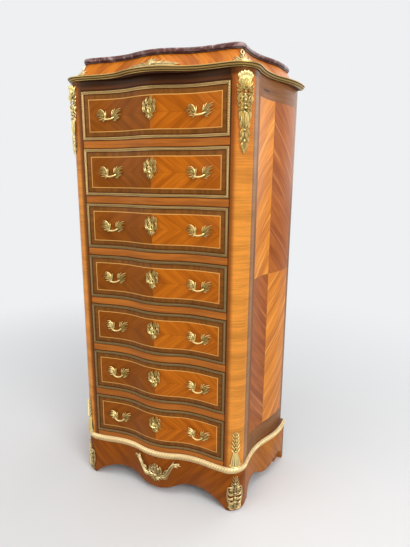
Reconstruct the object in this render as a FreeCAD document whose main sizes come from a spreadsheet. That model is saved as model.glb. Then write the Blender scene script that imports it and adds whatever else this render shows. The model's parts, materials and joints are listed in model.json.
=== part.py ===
"""Semainier: a tall narrow chest of seven drawers with a serpentine front.

The case stands on a scalloped plinth and carries a coved top under a marble slab.  Front, rails,
mouldings, drawers and slab all follow plan outlines of one kind: tangent arcs that swell at the
centre, hollow at each flank, swell again into a rounded corner post and flare out along the sides.

Frame: +Z up, front towards -Y, origin on the floor under the middle of the whole chest.  The plans
are drawn with y = 0 at the shoulders of the front, and each finished sub-part is then set forward
so that the origin lies in the middle.  Millimetres.
"""
import FreeCAD, Part
import math
import os

import Sketcher

doc = FreeCAD.newDocument("semainier")

# ------------------------------------------------------------------------------------------------
# Driving dimensions
# ------------------------------------------------------------------------------------------------
DRAWERS = 7

DRIVING = [
    # stack, from the floor up
    ("plinth_height", 136, "floor to the underside of the bottom board"),
    ("bottom_board", 22, "thickness of the bottom board, edged by the base moulding"),
    ("bottom_rail", 18, "rail under the lowest drawer"),
    ("front_height", 137, "height of one drawer front"),
    ("front_gap", 1, "clearance round a drawer front in its opening"),
    ("rail_height", 25, "rail between two openings"),
    ("frieze_height", 30, "rail above the top drawer"),
    ("top_board", 12, "thickness of the top board, edged by the cornice"),
    ("cove_height", 43, "height of the coved frame under the marble"),
    ("marble_thickness", 16, "thickness of the marble slab"),
    # plan of the case
    ("case_crest", 10, "swell of the front at its centre, forward of the shoulders"),
    ("case_hollow", 10, "depth of the hollow at each flank, behind the shoulders"),
    ("case_hollow_x", 125, "where the hollow is deepest"),
    ("case_front_x", 292, "half width over the corner posts"),
    ("case_back_x", 350, "half width at the back"),
    ("board_back_x", 361, "half width of the top and bottom boards at the back"),
    ("corner_radius", 50, "rounding of the corner posts"),
    ("case_flare_y", 76, "where the sides start to flare"),
    ("case_depth", 343, "shoulders to the back"),
    # plan of the cornice
    ("cornice_crest", 29, "swell of the cornice at its centre"),
    ("cornice_hollow", 5, "hollow of the cornice at each flank"),
    ("cornice_hollow_x", 150, "where the cornice's hollow is deepest"),
    # plan of the marble
    ("marble_setback", 34, "slab's shoulders behind the case's"),
    ("marble_crest", 18, "swell of the slab at its centre"),
    ("marble_hollow", 5, "hollow of the slab at each flank"),
    ("marble_hollow_x", 135, "where the slab's hollow is deepest"),
    ("marble_front_x", 257, "half width of the slab at the front"),
    ("marble_back_x", 320, "half width of the slab at the back"),
    ("marble_corner", 26, "rounding of the slab's front corners"),
    ("marble_flare_y", 74, "where the slab's sides start to flare"),
    ("marble_overhang", 6, "slab beyond the top of the cove"),
    ("marble_nosing", 5, "bevels along the slab's edges"),
    ("cove_setback", 14, "foot of the cove inside the edge of the top board"),
    ("cove_bow", 0.66, "share of the way in that the cove has drawn at half its height"),
    # case woodwork
    ("opening_x", 235, "half width of the drawer openings"),
    ("post_depth", 70, "corner posts and rails, from the shoulders back"),
    ("side_thickness", 18, "side panels"),
    ("back_thickness", 9, "back panel"),
    ("runner_x", 200, "inner edge of the runners"),
    ("guide_gap", 0.5, "drawer sides to their guide strips"),
    ("guide_width", 14, "guide strips beside the drawers"),
    ("guide_height", 24, "guide strips above the runners"),
    ("cove_wall", 26, "thickness of the coved frame at its top"),
    # drawers
    ("front_back_y", 24, "inner face of the drawer fronts"),
    ("side_inset", 2, "drawer sides inside the ends of their front"),
    ("board", 10, "drawer sides and back"),
    ("box_height", 124, "height of the drawer sides"),
    ("drawer_back_gap", 18, "drawer boxes to the back panel"),
    ("drawer_bottom", 6, "drawer bottom panel"),
    ("bottom_lift", 8, "drawer bottom above the lower edge of the sides"),
    ("running_gap", 0.3, "clearance of a sliding piece on its seat"),
    # brass frame round each drawer front
    ("bead_width", 7, "width of the brass frame"),
    ("bead_rise", 2.8, "projection of the frame"),
    # lock
    ("lock_width", 46, "lock case"),
    ("lock_height", 84, "lock case"),
    ("lock_depth", 11, "lock case, let into the drawer front"),
    ("bolt_width", 20, "bolt"),
    ("bolt_thickness", 5, "bolt"),
    ("bolt_height", 26, "bolt"),
    ("bolt_travel", 8, "bolt above its rest"),
    ("bolt_gap", 0.4, "clearance of the bolt in its case"),
    ("mortise_gap", 1, "clearance of the bolt in its mortise"),
    ("keyhole_radius", 2.2, "round of the keyhole"),
    ("keyhole_slot", 2, "width of the keyhole's slot"),
    ("keyhole_drop", 9, "length of the keyhole's slot"),
    ("keyhole_depth", 64, "keyhole below the top of the front"),
    ("plate_radius", 20, "mean radius of the escutcheon"),
    ("plate_thickness", 2.5, "escutcheon"),
    ("boss_rise", 1.5, "boss round the keyhole, above the escutcheon"),
    # handles
    ("handle_x", 145, "centre of each handle"),
    ("handle_lift", 5, "centre of the handles above the middle of a front"),
    ("bail_radius", 26, "centre line of the bail"),
    ("bail_section", 3.1, "half thickness of the bail"),
    ("bail_tilt", 28, "degrees that the bail leans out from the front"),
    ("bail_sink", 7, "centre of the bail behind the tufts, along its lean"),
    ("tuft_radius", 8, "leaf tuft at each end of a handle"),
    ("tuft_relief", 6, "projection of the tufts where the front is deepest"),
    ("tuft_swell", 3, "further projection, for the swell of the front beside them"),
    ("leaf_length", 17, "leaves that spread from a tuft"),
    ("leaf_radius", 4, "half width of a leaf at its root"),
    # mouldings
    ("base_projection", 8, "base moulding beyond the case"),
    ("base_bevel", 6, "height of the bevels above and below the base moulding's bead"),
    ("cornice_ledge", 12, "cornice moulding beyond the top board"),
    ("cornice_step", 6, "lower step of the cornice moulding"),
    ("cornice_fillet", 3, "height of each square of the cornice moulding"),
    # plinth
    ("plinth_projection", 3, "plinth beyond the case"),
    ("plinth_wall", 18, "thickness of the plinth's aprons"),
    ("apron_drop", 21, "floor to the front apron's centre"),
    ("apron_arch", 51, "floor to the top of the front arches"),
    ("apron_arch_x", 138, "centre of each front arch"),
    ("foot_x", 250, "inner edge of the front feet"),
    ("side_drop", 24, "floor to the side apron's centre"),
    ("side_arch", 54, "floor to the top of the side arches"),
    ("side_foot", 78, "shoulders to the back edge of the front feet"),
    ("side_arch_reach", 50, "foot to the centre of a side arch"),
    ("back_foot", 16, "depth of the back feet at the floor"),
    ("foot_block", 32, "square blocks inside the plinth's corners"),
    # corner mounts
    ("mount_relief", 5, "thickness of the cast mounts"),
    ("arm_relief", 3, "thickness of the apron mount's arms"),
    ("chute_top", 8, "top of the corner chutes below the top board"),
    ("chute_width", 22, "half width of the chutes' shell"),
    ("chute_length", 209, "length of the corner chutes"),
    ("husk_width", 13, "half width of the lower husks at their foot"),
    ("husk_length", 124, "length of the lower husks"),
    ("husk_lift", 2, "lower husks above the base moulding"),
    ("sabot_width", 23, "half width of the sabots"),
    ("sabot_height", 122, "height of the sabots"),
    ("sabot_lift", 8, "sabots above the floor"),
    # apron and cove mounts
    ("cartouche_radius", 17, "centre of the apron mount"),
    ("cartouche_lift", 64, "floor to the centre of the apron mount"),
    ("arm_reach", 62, "tip of each arm of the apron mount from its centre"),
    ("arm_rise", 46, "tip of each arm above the centre"),
    ("cove_mount_length", 74, "half length of the cove's centre mount"),
    ("cove_mount_height", 13, "height of the cove's centre mount"),
    ("cove_corner_width", 24, "half width of the cove's corner mounts"),
]

sizes = doc.addObject("Spreadsheet::Sheet", "sizes")
for row, (alias, number, meaning) in enumerate(DRIVING, start=1):
    sizes.set(f"A{row}", meaning)
    sizes.set(f"B{row}", str(number))
    sizes.setAlias(f"B{row}", alias)

# ------------------------------------------------------------------------------------------------
# Places worked out from the driving dimensions
# ------------------------------------------------------------------------------------------------
PLACES = [
    # levels
    ("board_z", "sizes.plinth_height"),
    ("case_z", "board_z + sizes.bottom_board"),
    ("opening_z", "case_z + sizes.bottom_rail"),
    ("opening_height", "sizes.front_height + 2 * sizes.front_gap"),
    ("pitch", "opening_height + sizes.rail_height"),
    ("frieze_z", f"opening_z + {DRAWERS} * pitch - sizes.rail_height"),
    ("top_board_z", "frieze_z + sizes.frieze_height"),
    ("cove_z", "top_board_z + sizes.top_board"),
    ("marble_z", "cove_z + sizes.cove_height"),
    # middle of the whole chest, from the cornice's front to the back
    ("middle_y", "(sizes.case_depth - sizes.cornice_crest - sizes.cornice_ledge) / 2"),
    # plan of the case
    ("case_crest_y", "-sizes.case_crest"),
    ("case_hollow_x", "sizes.case_hollow_x"),
    ("case_hollow_y", "sizes.case_hollow"),
    ("case_shoulder_x", "sizes.case_front_x - sizes.corner_radius"),
    ("case_shoulder_y", "0"),
    ("case_front_x", "sizes.case_front_x"),
    ("case_corner_y", "sizes.corner_radius"),
    ("case_flare_y", "sizes.case_flare_y"),
    ("case_back_x", "sizes.case_back_x"),
    ("case_back_y", "sizes.case_depth"),
    # plan of the bottom board: the case's, flared further
    ("base_crest_y", "case_crest_y"),
    ("base_hollow_x", "case_hollow_x"),
    ("base_hollow_y", "case_hollow_y"),
    ("base_shoulder_x", "case_shoulder_x"),
    ("base_shoulder_y", "case_shoulder_y"),
    ("base_front_x", "case_front_x"),
    ("base_corner_y", "case_corner_y"),
    ("base_flare_y", "case_flare_y"),
    ("base_back_x", "sizes.board_back_x"),
    ("base_back_y", "case_back_y"),
    # plan of the cornice and of the top board
    ("cornice_crest_y", "-sizes.cornice_crest"),
    ("cornice_hollow_x", "sizes.cornice_hollow_x"),
    ("cornice_hollow_y", "sizes.cornice_hollow"),
    ("cornice_shoulder_x", "case_shoulder_x"),
    ("cornice_shoulder_y", "0"),
    ("cornice_front_x", "case_front_x"),
    ("cornice_corner_y", "case_corner_y"),
    ("cornice_flare_y", "case_flare_y"),
    ("cornice_back_x", "sizes.board_back_x"),
    ("cornice_back_y", "case_back_y"),
    # plan of the marble
    ("marble_crest_y", "sizes.marble_setback - sizes.marble_crest"),
    ("marble_hollow_x", "sizes.marble_hollow_x"),
    ("marble_hollow_y", "sizes.marble_setback + sizes.marble_hollow"),
    ("marble_shoulder_x", "sizes.marble_front_x - sizes.marble_corner"),
    ("marble_shoulder_y", "sizes.marble_setback"),
    ("marble_front_x", "sizes.marble_front_x"),
    ("marble_corner_y", "sizes.marble_setback + sizes.marble_corner"),
    ("marble_flare_y", "sizes.marble_flare_y"),
    ("marble_back_x", "sizes.marble_back_x"),
    ("marble_back_y", "case_back_y"),
]

places = doc.addObject("Spreadsheet::Sheet", "places")


def add_place(alias, formula):
    """A named cell of the places sheet, worked out by its formula."""
    row = places_rows[0]
    places_rows[0] += 1
    places.set(f"B{row}", "=" + formula)
    places.setAlias(f"B{row}", alias)


places_rows = [1]
for place, formula in PLACES:
    add_place(place, formula)


def add_inset(name, base, distance):
    """Plan that runs inside another, everywhere by the same distance; the back stays in place."""
    for corner in ("hollow_x", "shoulder_x", "corner_y", "flare_y", "back_y"):
        add_place(f"{name}_{corner}", f"{base}_{corner}")
    for corner in ("crest_y", "hollow_y", "shoulder_y"):
        add_place(f"{name}_{corner}", f"{base}_{corner} + {distance}")
    for corner in ("front_x", "back_x"):
        add_place(f"{name}_{corner}", f"{base}_{corner} - {distance}")


def add_blend(name, first, second, share):
    """Plan that lies between two others, by a share of the way."""
    for corner in PLAN_CORNERS:
        formula = f"(1 - {share}) * {first}_{corner} + {share} * {second}_{corner}"
        add_place(f"{name}_{corner}", formula)


PLAN_CORNERS = ("crest_y", "hollow_x", "hollow_y", "shoulder_x", "shoulder_y", "front_x",
                "corner_y", "flare_y", "back_x", "back_y")
add_inset("inner", "case", "sizes.side_thickness")
add_inset("neck", "marble", "sizes.marble_overhang")
add_inset("foot", "cornice", "sizes.cove_setback")
add_blend("waist", "foot", "neck", "sizes.cove_bow")
add_inset("plinth", "base", "-sizes.plinth_projection")
add_inset("pit", "plinth", "sizes.plinth_wall")
add_inset("bead", "case", "-sizes.bead_rise")
for level in ("foot", "waist", "neck"):
    add_inset(level + "_cover", level, "-sizes.mount_relief")
add_inset("relief", "case", "-sizes.mount_relief")
add_inset("sabot_relief", "plinth", "-sizes.mount_relief")
doc.recompute()


def at(alias):
    """Present value of a places cell; None stands for the centre plane."""
    return float(places.get(alias)) if alias else 0.0


# ------------------------------------------------------------------------------------------------
# Plan outlines
# ------------------------------------------------------------------------------------------------
def right_half(plan):
    """Corner points from the back to the front's centre, each with the link that follows it."""
    return [
        (plan + "_back_x", plan + "_back_y", "sideways"),
        (plan + "_front_x", plan + "_flare_y", "line"),
        (plan + "_front_x", plan + "_corner_y", "round"),
        (plan + "_shoulder_x", plan + "_shoulder_y", "ogee"),
        (plan + "_hollow_x", plan + "_hollow_y", "ogee"),
        (None, plan + "_crest_y", None),
    ]


def stations(plan):
    """The whole path from the right back corner round the front to the left back corner."""
    half = [(1, x, y, link) for x, y, link in right_half(plan)]
    links = [link for _, _, _, link in half[:-1]]
    left = [(-1, x, y, link) for (_, x, y, _), link in zip(half[-2::-1], links[-2::-1] + [None])]
    half[-1] = (1, None, plan + "_crest_y", links[-1])
    return half + left


def term(sign, alias):
    """Expression for one coordinate."""
    if alias is None:
        return "0"
    return f"places.{alias}" if sign > 0 else f"-places.{alias}"


class PathSketch:
    """Draws lines and arcs end to end in a sketch and ties every corner to the sheets."""

    def __init__(self, sketch):
        self.sketch = sketch
        self.constraints = []
        self.expressions = {}
        self.first = None
        self.last = None

    def _add(self, shape, start, end):
        index = self.sketch.addGeometry(shape, False)
        if self.last is None:
            self.first = (index, start)
        else:
            self.constraints.append(Sketcher.Constraint("Coincident", *self.last, index, start))
        self.last = (index, end)
        return index

    def _fix(self, kind, where, value, expression):
        self.expressions[len(self.constraints)] = expression
        self.constraints.append(Sketcher.Constraint(kind, *where, value))

    def pin(self, where, point, x_expression, y_expression):
        self._fix("DistanceX", where, point[0], x_expression)
        self._fix("DistanceY", where, point[1], y_expression)

    def line(self, start, end):
        shape = Part.LineSegment(FreeCAD.Vector(*start, 0), FreeCAD.Vector(*end, 0))
        return self._add(shape, 1, 2)

    def arc(self, centre, start, end, radius_expression):
        radius = math.dist(centre, start)
        first = math.atan2(start[1] - centre[1], start[0] - centre[0])
        second = math.atan2(end[1] - centre[1], end[0] - centre[0])
        anticlockwise = (second - first) % (2 * math.pi) < math.pi
        if not anticlockwise:
            first, second = second, first
        circle = Part.Circle(FreeCAD.Vector(*centre, 0), FreeCAD.Vector(0, 0, 1), radius)
        ends = (1, 2) if anticlockwise else (2, 1)
        index = self._add(Part.ArcOfCircle(circle, first, second), *ends)
        self.expressions[len(self.constraints)] = radius_expression
        self.constraints.append(Sketcher.Constraint("Radius", index, radius))
        return index

    def ogee(self, start, end, start_terms, end_terms, sideways):
        """Two equal tangent arcs; both ends run along X, or along Y when sideways."""
        dx, dy = end[0] - start[0], end[1] - start[1]
        rise = dx if sideways else dy
        radius = (dx * dx + dy * dy) / (4 * rise)
        first = (start[0] + radius, start[1]) if sideways else (start[0], start[1] + radius)
        second = (end[0] - radius, end[1]) if sideways else (end[0], end[1] - radius)
        middle = ((start[0] + end[0]) / 2, (start[1] + end[1]) / 2)
        across = f"({end_terms[0]} - ({start_terms[0]}))"
        along = f"({end_terms[1]} - ({start_terms[1]}))"
        swing = across if sideways else along
        formula = f"({across} ^ 2 + {along} ^ 2) / (4 * abs({swing}))"
        self.arc(first, start, middle, formula)
        x_middle = f"({start_terms[0]} + ({end_terms[0]})) / 2"
        y_middle = f"({start_terms[1]} + ({end_terms[1]})) / 2"
        self.pin(self.last, middle, x_middle, y_middle)
        self.arc(second, middle, end, formula)

    def shoulder(self, start, end, start_terms, end_terms):
        """One arc between two places, level at the higher of them."""
        dx, dy = end[0] - start[0], end[1] - start[1]
        radius = (dx * dx + dy * dy) / (2 * abs(dy))
        crown = end if dy > 0 else start
        across = f"({end_terms[0]} - ({start_terms[0]}))"
        along = f"({end_terms[1]} - ({start_terms[1]}))"
        self.arc((crown[0], crown[1] - radius), start, end,
                 f"({across} ^ 2 + {along} ^ 2) / (2 * abs({along}))")

    def close(self):
        self.constraints.append(Sketcher.Constraint("Coincident", *self.last, *self.first))

    def finish(self):
        self.sketch.addConstraint(self.constraints)
        for index, expression in self.expressions.items():
            self.sketch.setExpression(f"Constraints[{index}]", expression)
        return self.sketch


def plan_sketch(name, plan, closed=True, owner=None):
    """Plan outline in the XY plane; open at the back when it is a path for a moulding."""
    kind = "Sketcher::SketchObject"
    sketch = owner.newObject(kind, name) if owner else doc.addObject(kind, name)
    path = PathSketch(sketch)
    points = stations(plan)
    for step, (here, there) in enumerate(zip(points, points[1:])):
        (sign, x, y, link), (next_sign, next_x, next_y, _) = here, there
        start, end = (sign * at(x), at(y)), (next_sign * at(next_x), at(next_y))
        start_terms = (term(sign, x), term(1, y))
        end_terms = (term(next_sign, next_x), term(1, next_y))
        if link == "line":
            path.line(start, end)
        elif link == "round":
            centre = (start[0], end[1]) if abs(start[0]) < abs(end[0]) else (end[0], start[1])
            path.arc(centre, start, end, f"places.{plan}_corner_y - places.{plan}_shoulder_y")
        else:
            path.ogee(start, end, start_terms, end_terms, link == "sideways")
        if step == 0:
            path.pin(path.first, start, *start_terms)
        path.pin(path.last, end, *end_terms)
    if closed:
        path.line(end, (at(points[0][1]), at(points[0][2])))
        path.close()
    return path.finish()


# ------------------------------------------------------------------------------------------------
# Features shared by the pieces
# ------------------------------------------------------------------------------------------------
def bind(feature, expressions):
    """Ties properties of a feature to expressions and returns the feature."""
    for path, expression in expressions.items():
        feature.setExpression(path, expression)
    return feature


def box(name, low, high):
    """Box between two corners, each given as three expressions."""
    spans = [f"({b}) - ({a})" for a, b in zip(low, high)]
    sides = dict(zip(("Length", "Width", "Height"), spans))
    corner = {f"Placement.Base.{axis}": f"{a}" for axis, a in zip("xyz", low)}
    return bind(doc.addObject("Part::Box", name), {**sides, **corner})


def slab(name, outline, low, high):
    """Outline raised between two levels."""
    feature = doc.addObject("Part::Extrusion", name)
    feature.Base = outline
    feature.DirMode = "Custom"
    feature.Dir = FreeCAD.Vector(0, 0, 1)
    feature.Solid = True
    return bind(feature, {"LengthFwd": f"({high}) - ({low})", "Placement.Base.z": f"{low}"})


def common(name, first, second):
    feature = doc.addObject("Part::MultiCommon", name)
    feature.Shapes = [first, second]
    return feature


def cut(name, body, tool):
    feature = doc.addObject("Part::Cut", name)
    feature.Base, feature.Tool = body, tool
    return feature


def fuse(name, pieces):
    feature = doc.addObject("Part::MultiFuse", name)
    feature.Shapes = pieces
    feature.Refine = True
    return feature


def mirrored(name, source):
    """Copy of a right-hand piece for the left side."""
    feature = doc.addObject("Part::Mirroring", name)
    feature.Source = source
    feature.Normal = (1, 0, 0)
    return feature


def size(alias):
    return float(sizes.get(alias))


def both(alias):
    """Value and expression of a driving dimension."""
    return size(alias), S + alias


def polar(centre, radius, angle):
    """Point at an angle in degrees from a centre: its value and its two expressions."""
    (x, z), (x_term, z_term) = centre
    length, length_term = radius
    turn = math.radians(angle)
    value = (x + length * math.cos(turn), z + length * math.sin(turn))
    return value, (f"{x_term} + {length_term} * cos({angle})",
                   f"{z_term} + {length_term} * sin({angle})")


def outline_sketch(name, corners):
    """Closed outline of straight runs on an upright sketch, facing the front."""
    sketch = doc.addObject("Sketcher::SketchObject", name)
    sketch.Placement.Rotation = FreeCAD.Rotation(FreeCAD.Vector(1, 0, 0), 90)
    path = PathSketch(sketch)
    for step, (here, there) in enumerate(zip(corners, corners[1:] + corners[:1])):
        path.line(here[0], there[0])
        if step == 0:
            path.pin(path.first, here[0], *here[1])
        if step < len(corners) - 1:
            path.pin(path.last, there[0], *there[1])
    path.close()
    return path.finish()


def upright(name, outline, back_y, depth):
    """Outline thickened towards the front."""
    feature = doc.addObject("Part::Extrusion", name)
    feature.Base = outline
    feature.DirMode = "Custom"
    feature.Dir = FreeCAD.Vector(0, -1, 0)
    feature.Solid = True
    return bind(feature, {"LengthFwd": depth, "Placement.Base.y": back_y})


nodes = []


def node(label, pieces, lift="0"):
    """Names a finished sub-part: its solids, raised by a lift and set in the chest's frame."""
    feature = doc.addObject("Part::Compound", "node_" + label)
    feature.Label = label
    feature.Links = pieces
    nodes.append(bind(feature, {"Placement.Base.y": "-places.middle_y",
                                "Placement.Base.z": lift}))


FAR = "1000"          # beyond the case on every side
HIGH = "2000"         # above the whole chest
THROUGH = "100"       # through a drawer front or an apron
PAST = "1"            # beyond the face that a cutter enters or leaves by
NEAR = 0.01           # tells an edge's level or depth from its neighbours'
S, P = "sizes.", "places."

case_plan = plan_sketch("case_plan", "case")
base_plan = plan_sketch("base_plan", "base")
base_path = plan_sketch("base_path", "base", closed=False)
cornice_plan = plan_sketch("cornice_plan", "cornice")
cornice_path = plan_sketch("cornice_path", "cornice", closed=False)
inner_plan = plan_sketch("inner_plan", "inner")

# ------------------------------------------------------------------------------------------------
# Case
# ------------------------------------------------------------------------------------------------
node("carcass_bottom", [slab("bottom_slab", base_plan, P + "board_z", P + "case_z")])
node("carcass_top", [slab("top_slab", cornice_plan, P + "top_board_z", P + "cove_z")])

case_block = slab("case_block", case_plan, P + "case_z", P + "top_board_z")
inner_block = slab("inner_block", inner_plan, P + "case_z", P + "top_board_z")
post_zone = box("post_zone", (S + "opening_x", "-" + FAR, "0"), (FAR, S + "post_depth", HIGH))
right_post = common("right_post", case_block, post_zone)
node("corner_posts", [right_post, mirrored("left_post", right_post)])

side_zone = box("side_zone", ("0", S + "post_depth", "0"), (FAR, P + "case_back_y", HIGH))
case_shell = cut("case_shell", case_block, inner_block)
right_side = common("right_side", case_shell, side_zone)
node("side_panel_right", [right_side])
node("side_panel_left", [mirrored("left_side", right_side)])

back_front_y = "places.case_back_y - sizes.back_thickness"
back_zone = box("back_zone", ("-" + FAR, back_front_y, "0"), (FAR, P + "case_back_y", HIGH))
node("back_panel", [common("back_board", inner_block, back_zone)])


def opening_top(number):
    """Upper edge of the opening of a drawer, counted from the bottom."""
    return f"places.opening_z + {number} * places.pitch - sizes.rail_height"


# rails: one under the lowest drawer, one over every drawer; a mortise takes each lock's bolt
rail_zone = box("rail_zone", ("-sizes.opening_x", "-" + FAR, "0"),
                (S + "opening_x", S + "post_depth", HIGH))
bolt_back_y = "sizes.front_back_y - (sizes.lock_depth - sizes.bolt_thickness) / 2"
rails = [common("rail_0", slab("rail_blank_0", case_plan, P + "case_z", P + "opening_z"),
                rail_zone)]
for number in range(1, DRAWERS + 1):
    low = opening_top(number)
    high = f"{low} + " + ("sizes.frieze_height" if number == DRAWERS else "sizes.rail_height")
    blank = common(f"rail_bar_{number}", slab(f"rail_blank_{number}", case_plan, low, high),
                   rail_zone)
    mortise = box(f"mortise_{number}",
                  ("-sizes.bolt_width / 2 - sizes.mortise_gap",
                   bolt_back_y + " - sizes.bolt_thickness - sizes.mortise_gap", low),
                  ("sizes.bolt_width / 2 + sizes.mortise_gap",
                   bolt_back_y + " + sizes.mortise_gap", low + " + sizes.bolt_travel"))
    rails.append(cut(f"rail_{number}", blank, mortise))
node("drawer_rails", rails)

# runners and guides: straight bars from the posts and rails to the back panel
runners = []
for number in range(DRAWERS + 1):
    low = P + "case_z" if number == 0 else opening_top(number)
    high = {0: P + "opening_z", DRAWERS: P + "top_board_z"}.get(
        number, low + " + sizes.rail_height")
    right = box(f"runner_{number}", (S + "runner_x", S + "post_depth", low),
                (P + "inner_front_x", back_front_y, high))
    runners += [right, mirrored(f"runner_{number}_left", right)]
for number in range(DRAWERS):
    low = P + "opening_z" if number == 0 else opening_top(number) + " + sizes.rail_height"
    guide_x = "sizes.opening_x - sizes.front_gap - sizes.side_inset + sizes.guide_gap"
    right = box(f"guide_{number}", (guide_x, S + "post_depth", low),
                (guide_x + " + sizes.guide_width", back_front_y, low + " + sizes.guide_height"))
    runners += [right, mirrored(f"guide_{number}_left", right)]
node("drawer_runners", runners)

# ------------------------------------------------------------------------------------------------
# Top: coved frame and marble slab
# ------------------------------------------------------------------------------------------------
def cove(name, suffix=""):
    """Hollow-sided block from the foot of the cove to its neck."""
    levels = {"foot": P + "cove_z", "waist": "places.cove_z + sizes.cove_height / 2",
              "neck": P + "marble_z"}
    sections = []
    for level, height in levels.items():
        section = plan_sketch(f"{name}_{level}_plan", level + suffix)
        sections.append(bind(section, {"Placement.Base.z": height}))
    block = doc.addObject("Part::Loft", name)
    block.Sections = sections
    block.Solid = True
    block.Ruled = True
    return block


cove_block = cove("cove_block")
cove_well = box("cove_well",
                ("-places.neck_front_x + sizes.cove_wall",
                 "places.neck_hollow_y + sizes.cove_wall", "places.cove_z - " + PAST),
                ("places.neck_front_x - sizes.cove_wall",
                 "places.neck_back_y - sizes.cove_wall", "places.marble_z + " + PAST))
node("top_cove", [cut("cove_frame", cove_block, cove_well)])

marble = doc.addObject("PartDesign::Body", "marble_body")
marble_sketch = plan_sketch("marble_plan", "marble", owner=marble)
marble_pad = marble.newObject("PartDesign::Pad", "marble_pad")
marble_pad.Profile = marble_sketch
bind(marble_pad, {"Length": S + "marble_thickness"})
bind(marble, {"Placement.Base.z": P + "marble_z"})
node("marble_top", [marble])

doc.recompute()


def rim_edges(shape, level):
    """Edges of a horizontal face's rim, apart from the straight one along the wall."""
    low, high = level - NEAR, level + NEAR
    back = at("case_back_y") - NEAR
    found = []
    for number, edge in enumerate(shape.Edges, start=1):
        box_ = edge.BoundBox
        if low < box_.ZMin and box_.ZMax < high and box_.YMin < back:
            found.append(f"Edge{number}")
    return found


slab_shape = marble_pad.Shape
top_level = float(sizes.marble_thickness)
marble_nosing = marble.newObject("PartDesign::Chamfer", "marble_nosing")
marble_nosing.Base = (marble_pad, rim_edges(slab_shape, 0) + rim_edges(slab_shape, top_level))
bind(marble_nosing, {"Size": S + "marble_nosing"})

# ------------------------------------------------------------------------------------------------
# Brass mouldings, swept along the case from one back corner to the other
# ------------------------------------------------------------------------------------------------


def profile_sketch(name, corners, level):
    """Moulding profile at the right back corner, from (out, up) corners and expressions."""
    sketch = doc.addObject("Sketcher::SketchObject", name)
    sketch.Placement.Rotation = FreeCAD.Rotation(FreeCAD.Vector(1, 0, 0), 90)
    path = PathSketch(sketch)
    first = corners[0]
    for step, (here, there) in enumerate(zip(corners, corners[1:] + [first])):
        path.line(here[:2], there[:2])
        if step == 0:
            path.pin(path.first, here[:2], *here[2:])
        if there is not first:
            path.pin(path.last, there[:2], *there[2:])
    path.close()
    path.finish()
    return bind(sketch, {"Placement.Base.x": S + "board_back_x",
                         "Placement.Base.y": P + "case_back_y",
                         "Placement.Base.z": level})


def moulding(name, path, profile):
    feature = doc.addObject("Part::Sweep", name)
    feature.Sections = [profile]
    feature.Spine = (path, [f"Edge{n + 1}" for n in range(path.GeometryCount)])
    feature.Solid = True
    return feature


# base moulding: a bead bevelled above and below, as high as the bottom board
reach, bevel, rise = size("base_projection"), size("base_bevel"), size("bottom_board")
base_profile = profile_sketch("base_profile", [
    (0, 0, "0", "0"),
    (reach, bevel, S + "base_projection", S + "base_bevel"),
    (reach, rise - bevel, S + "base_projection", "sizes.bottom_board - sizes.base_bevel"),
    (0, rise, "0", S + "bottom_board"),
], P + "board_z")
node("base_moulding", [moulding("base_sweep", base_path, base_profile)])

# cornice: a lower square, a splay growing outward and an upper square
ledge, step_out, square = size("cornice_ledge"), size("cornice_step"), size("cornice_fillet")
rise = size("top_board")
cornice_profile = profile_sketch("cornice_profile", [
    (0, 0, "0", "0"),
    (step_out, 0, S + "cornice_step", "0"),
    (step_out, square, S + "cornice_step", S + "cornice_fillet"),
    (ledge, rise - square, S + "cornice_ledge", "sizes.top_board - sizes.cornice_fillet"),
    (ledge, rise, S + "cornice_ledge", S + "top_board"),
    (0, rise, "0", S + "top_board"),
], P + "top_board_z")
node("cornice_moulding", [moulding("cornice_sweep", cornice_path, cornice_profile)])

# ------------------------------------------------------------------------------------------------
# One drawer, at the lowest opening; the others are raised copies
# ------------------------------------------------------------------------------------------------
front_z = "places.opening_z + sizes.front_gap"
front_top = front_z + " + sizes.front_height"
front_x = "(sizes.opening_x - sizes.front_gap)"
front_middle = front_z + " + sizes.front_height / 2"
lock_low = front_top + " - sizes.lock_height"
lock_face_y = "sizes.front_back_y - sizes.lock_depth"
key_z = front_top + " - sizes.keyhole_depth"
middle_z = at("opening_z") + size("front_gap") + size("front_height") / 2
key_value = middle_z + size("front_height") / 2 - size("keyhole_depth")
key_point = ((0, key_value), ("0", key_z))


def keyhole(name, back_y):
    """Cutter for a faceted round hole with a slot below it, from a level behind forward."""
    reach, reach_term = both("keyhole_slot")
    drop, drop_term = both("keyhole_drop")
    foot = [((hand * reach / 2, key_value - drop),
             (f"{hand} * {reach_term} / 2", f"{key_z} - {drop_term}")) for hand in (-1, 1)]
    top = [polar(key_point, both("keyhole_radius"), angle) for angle in range(-60, 241, 60)]
    return upright(name, outline_sketch(name + "_outline", foot + top), back_y, THROUGH)


front_slab = slab("front_slab", case_plan, front_z, front_top)
front_zone = box("front_zone", ("-" + front_x, "-" + FAR, "0"),
                 (front_x, S + "front_back_y", HIGH))
front_blank = common("front_blank", front_slab, front_zone)
lock_recess = box("lock_recess", ("-sizes.lock_width / 2", lock_face_y, lock_low),
                  ("sizes.lock_width / 2", S + "front_back_y", front_top))
front_recessed = cut("front_recessed", front_blank, lock_recess)
drawer_front = cut("drawer_front", front_recessed,
                   keyhole("front_keyhole", S + "front_back_y"))

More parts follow.
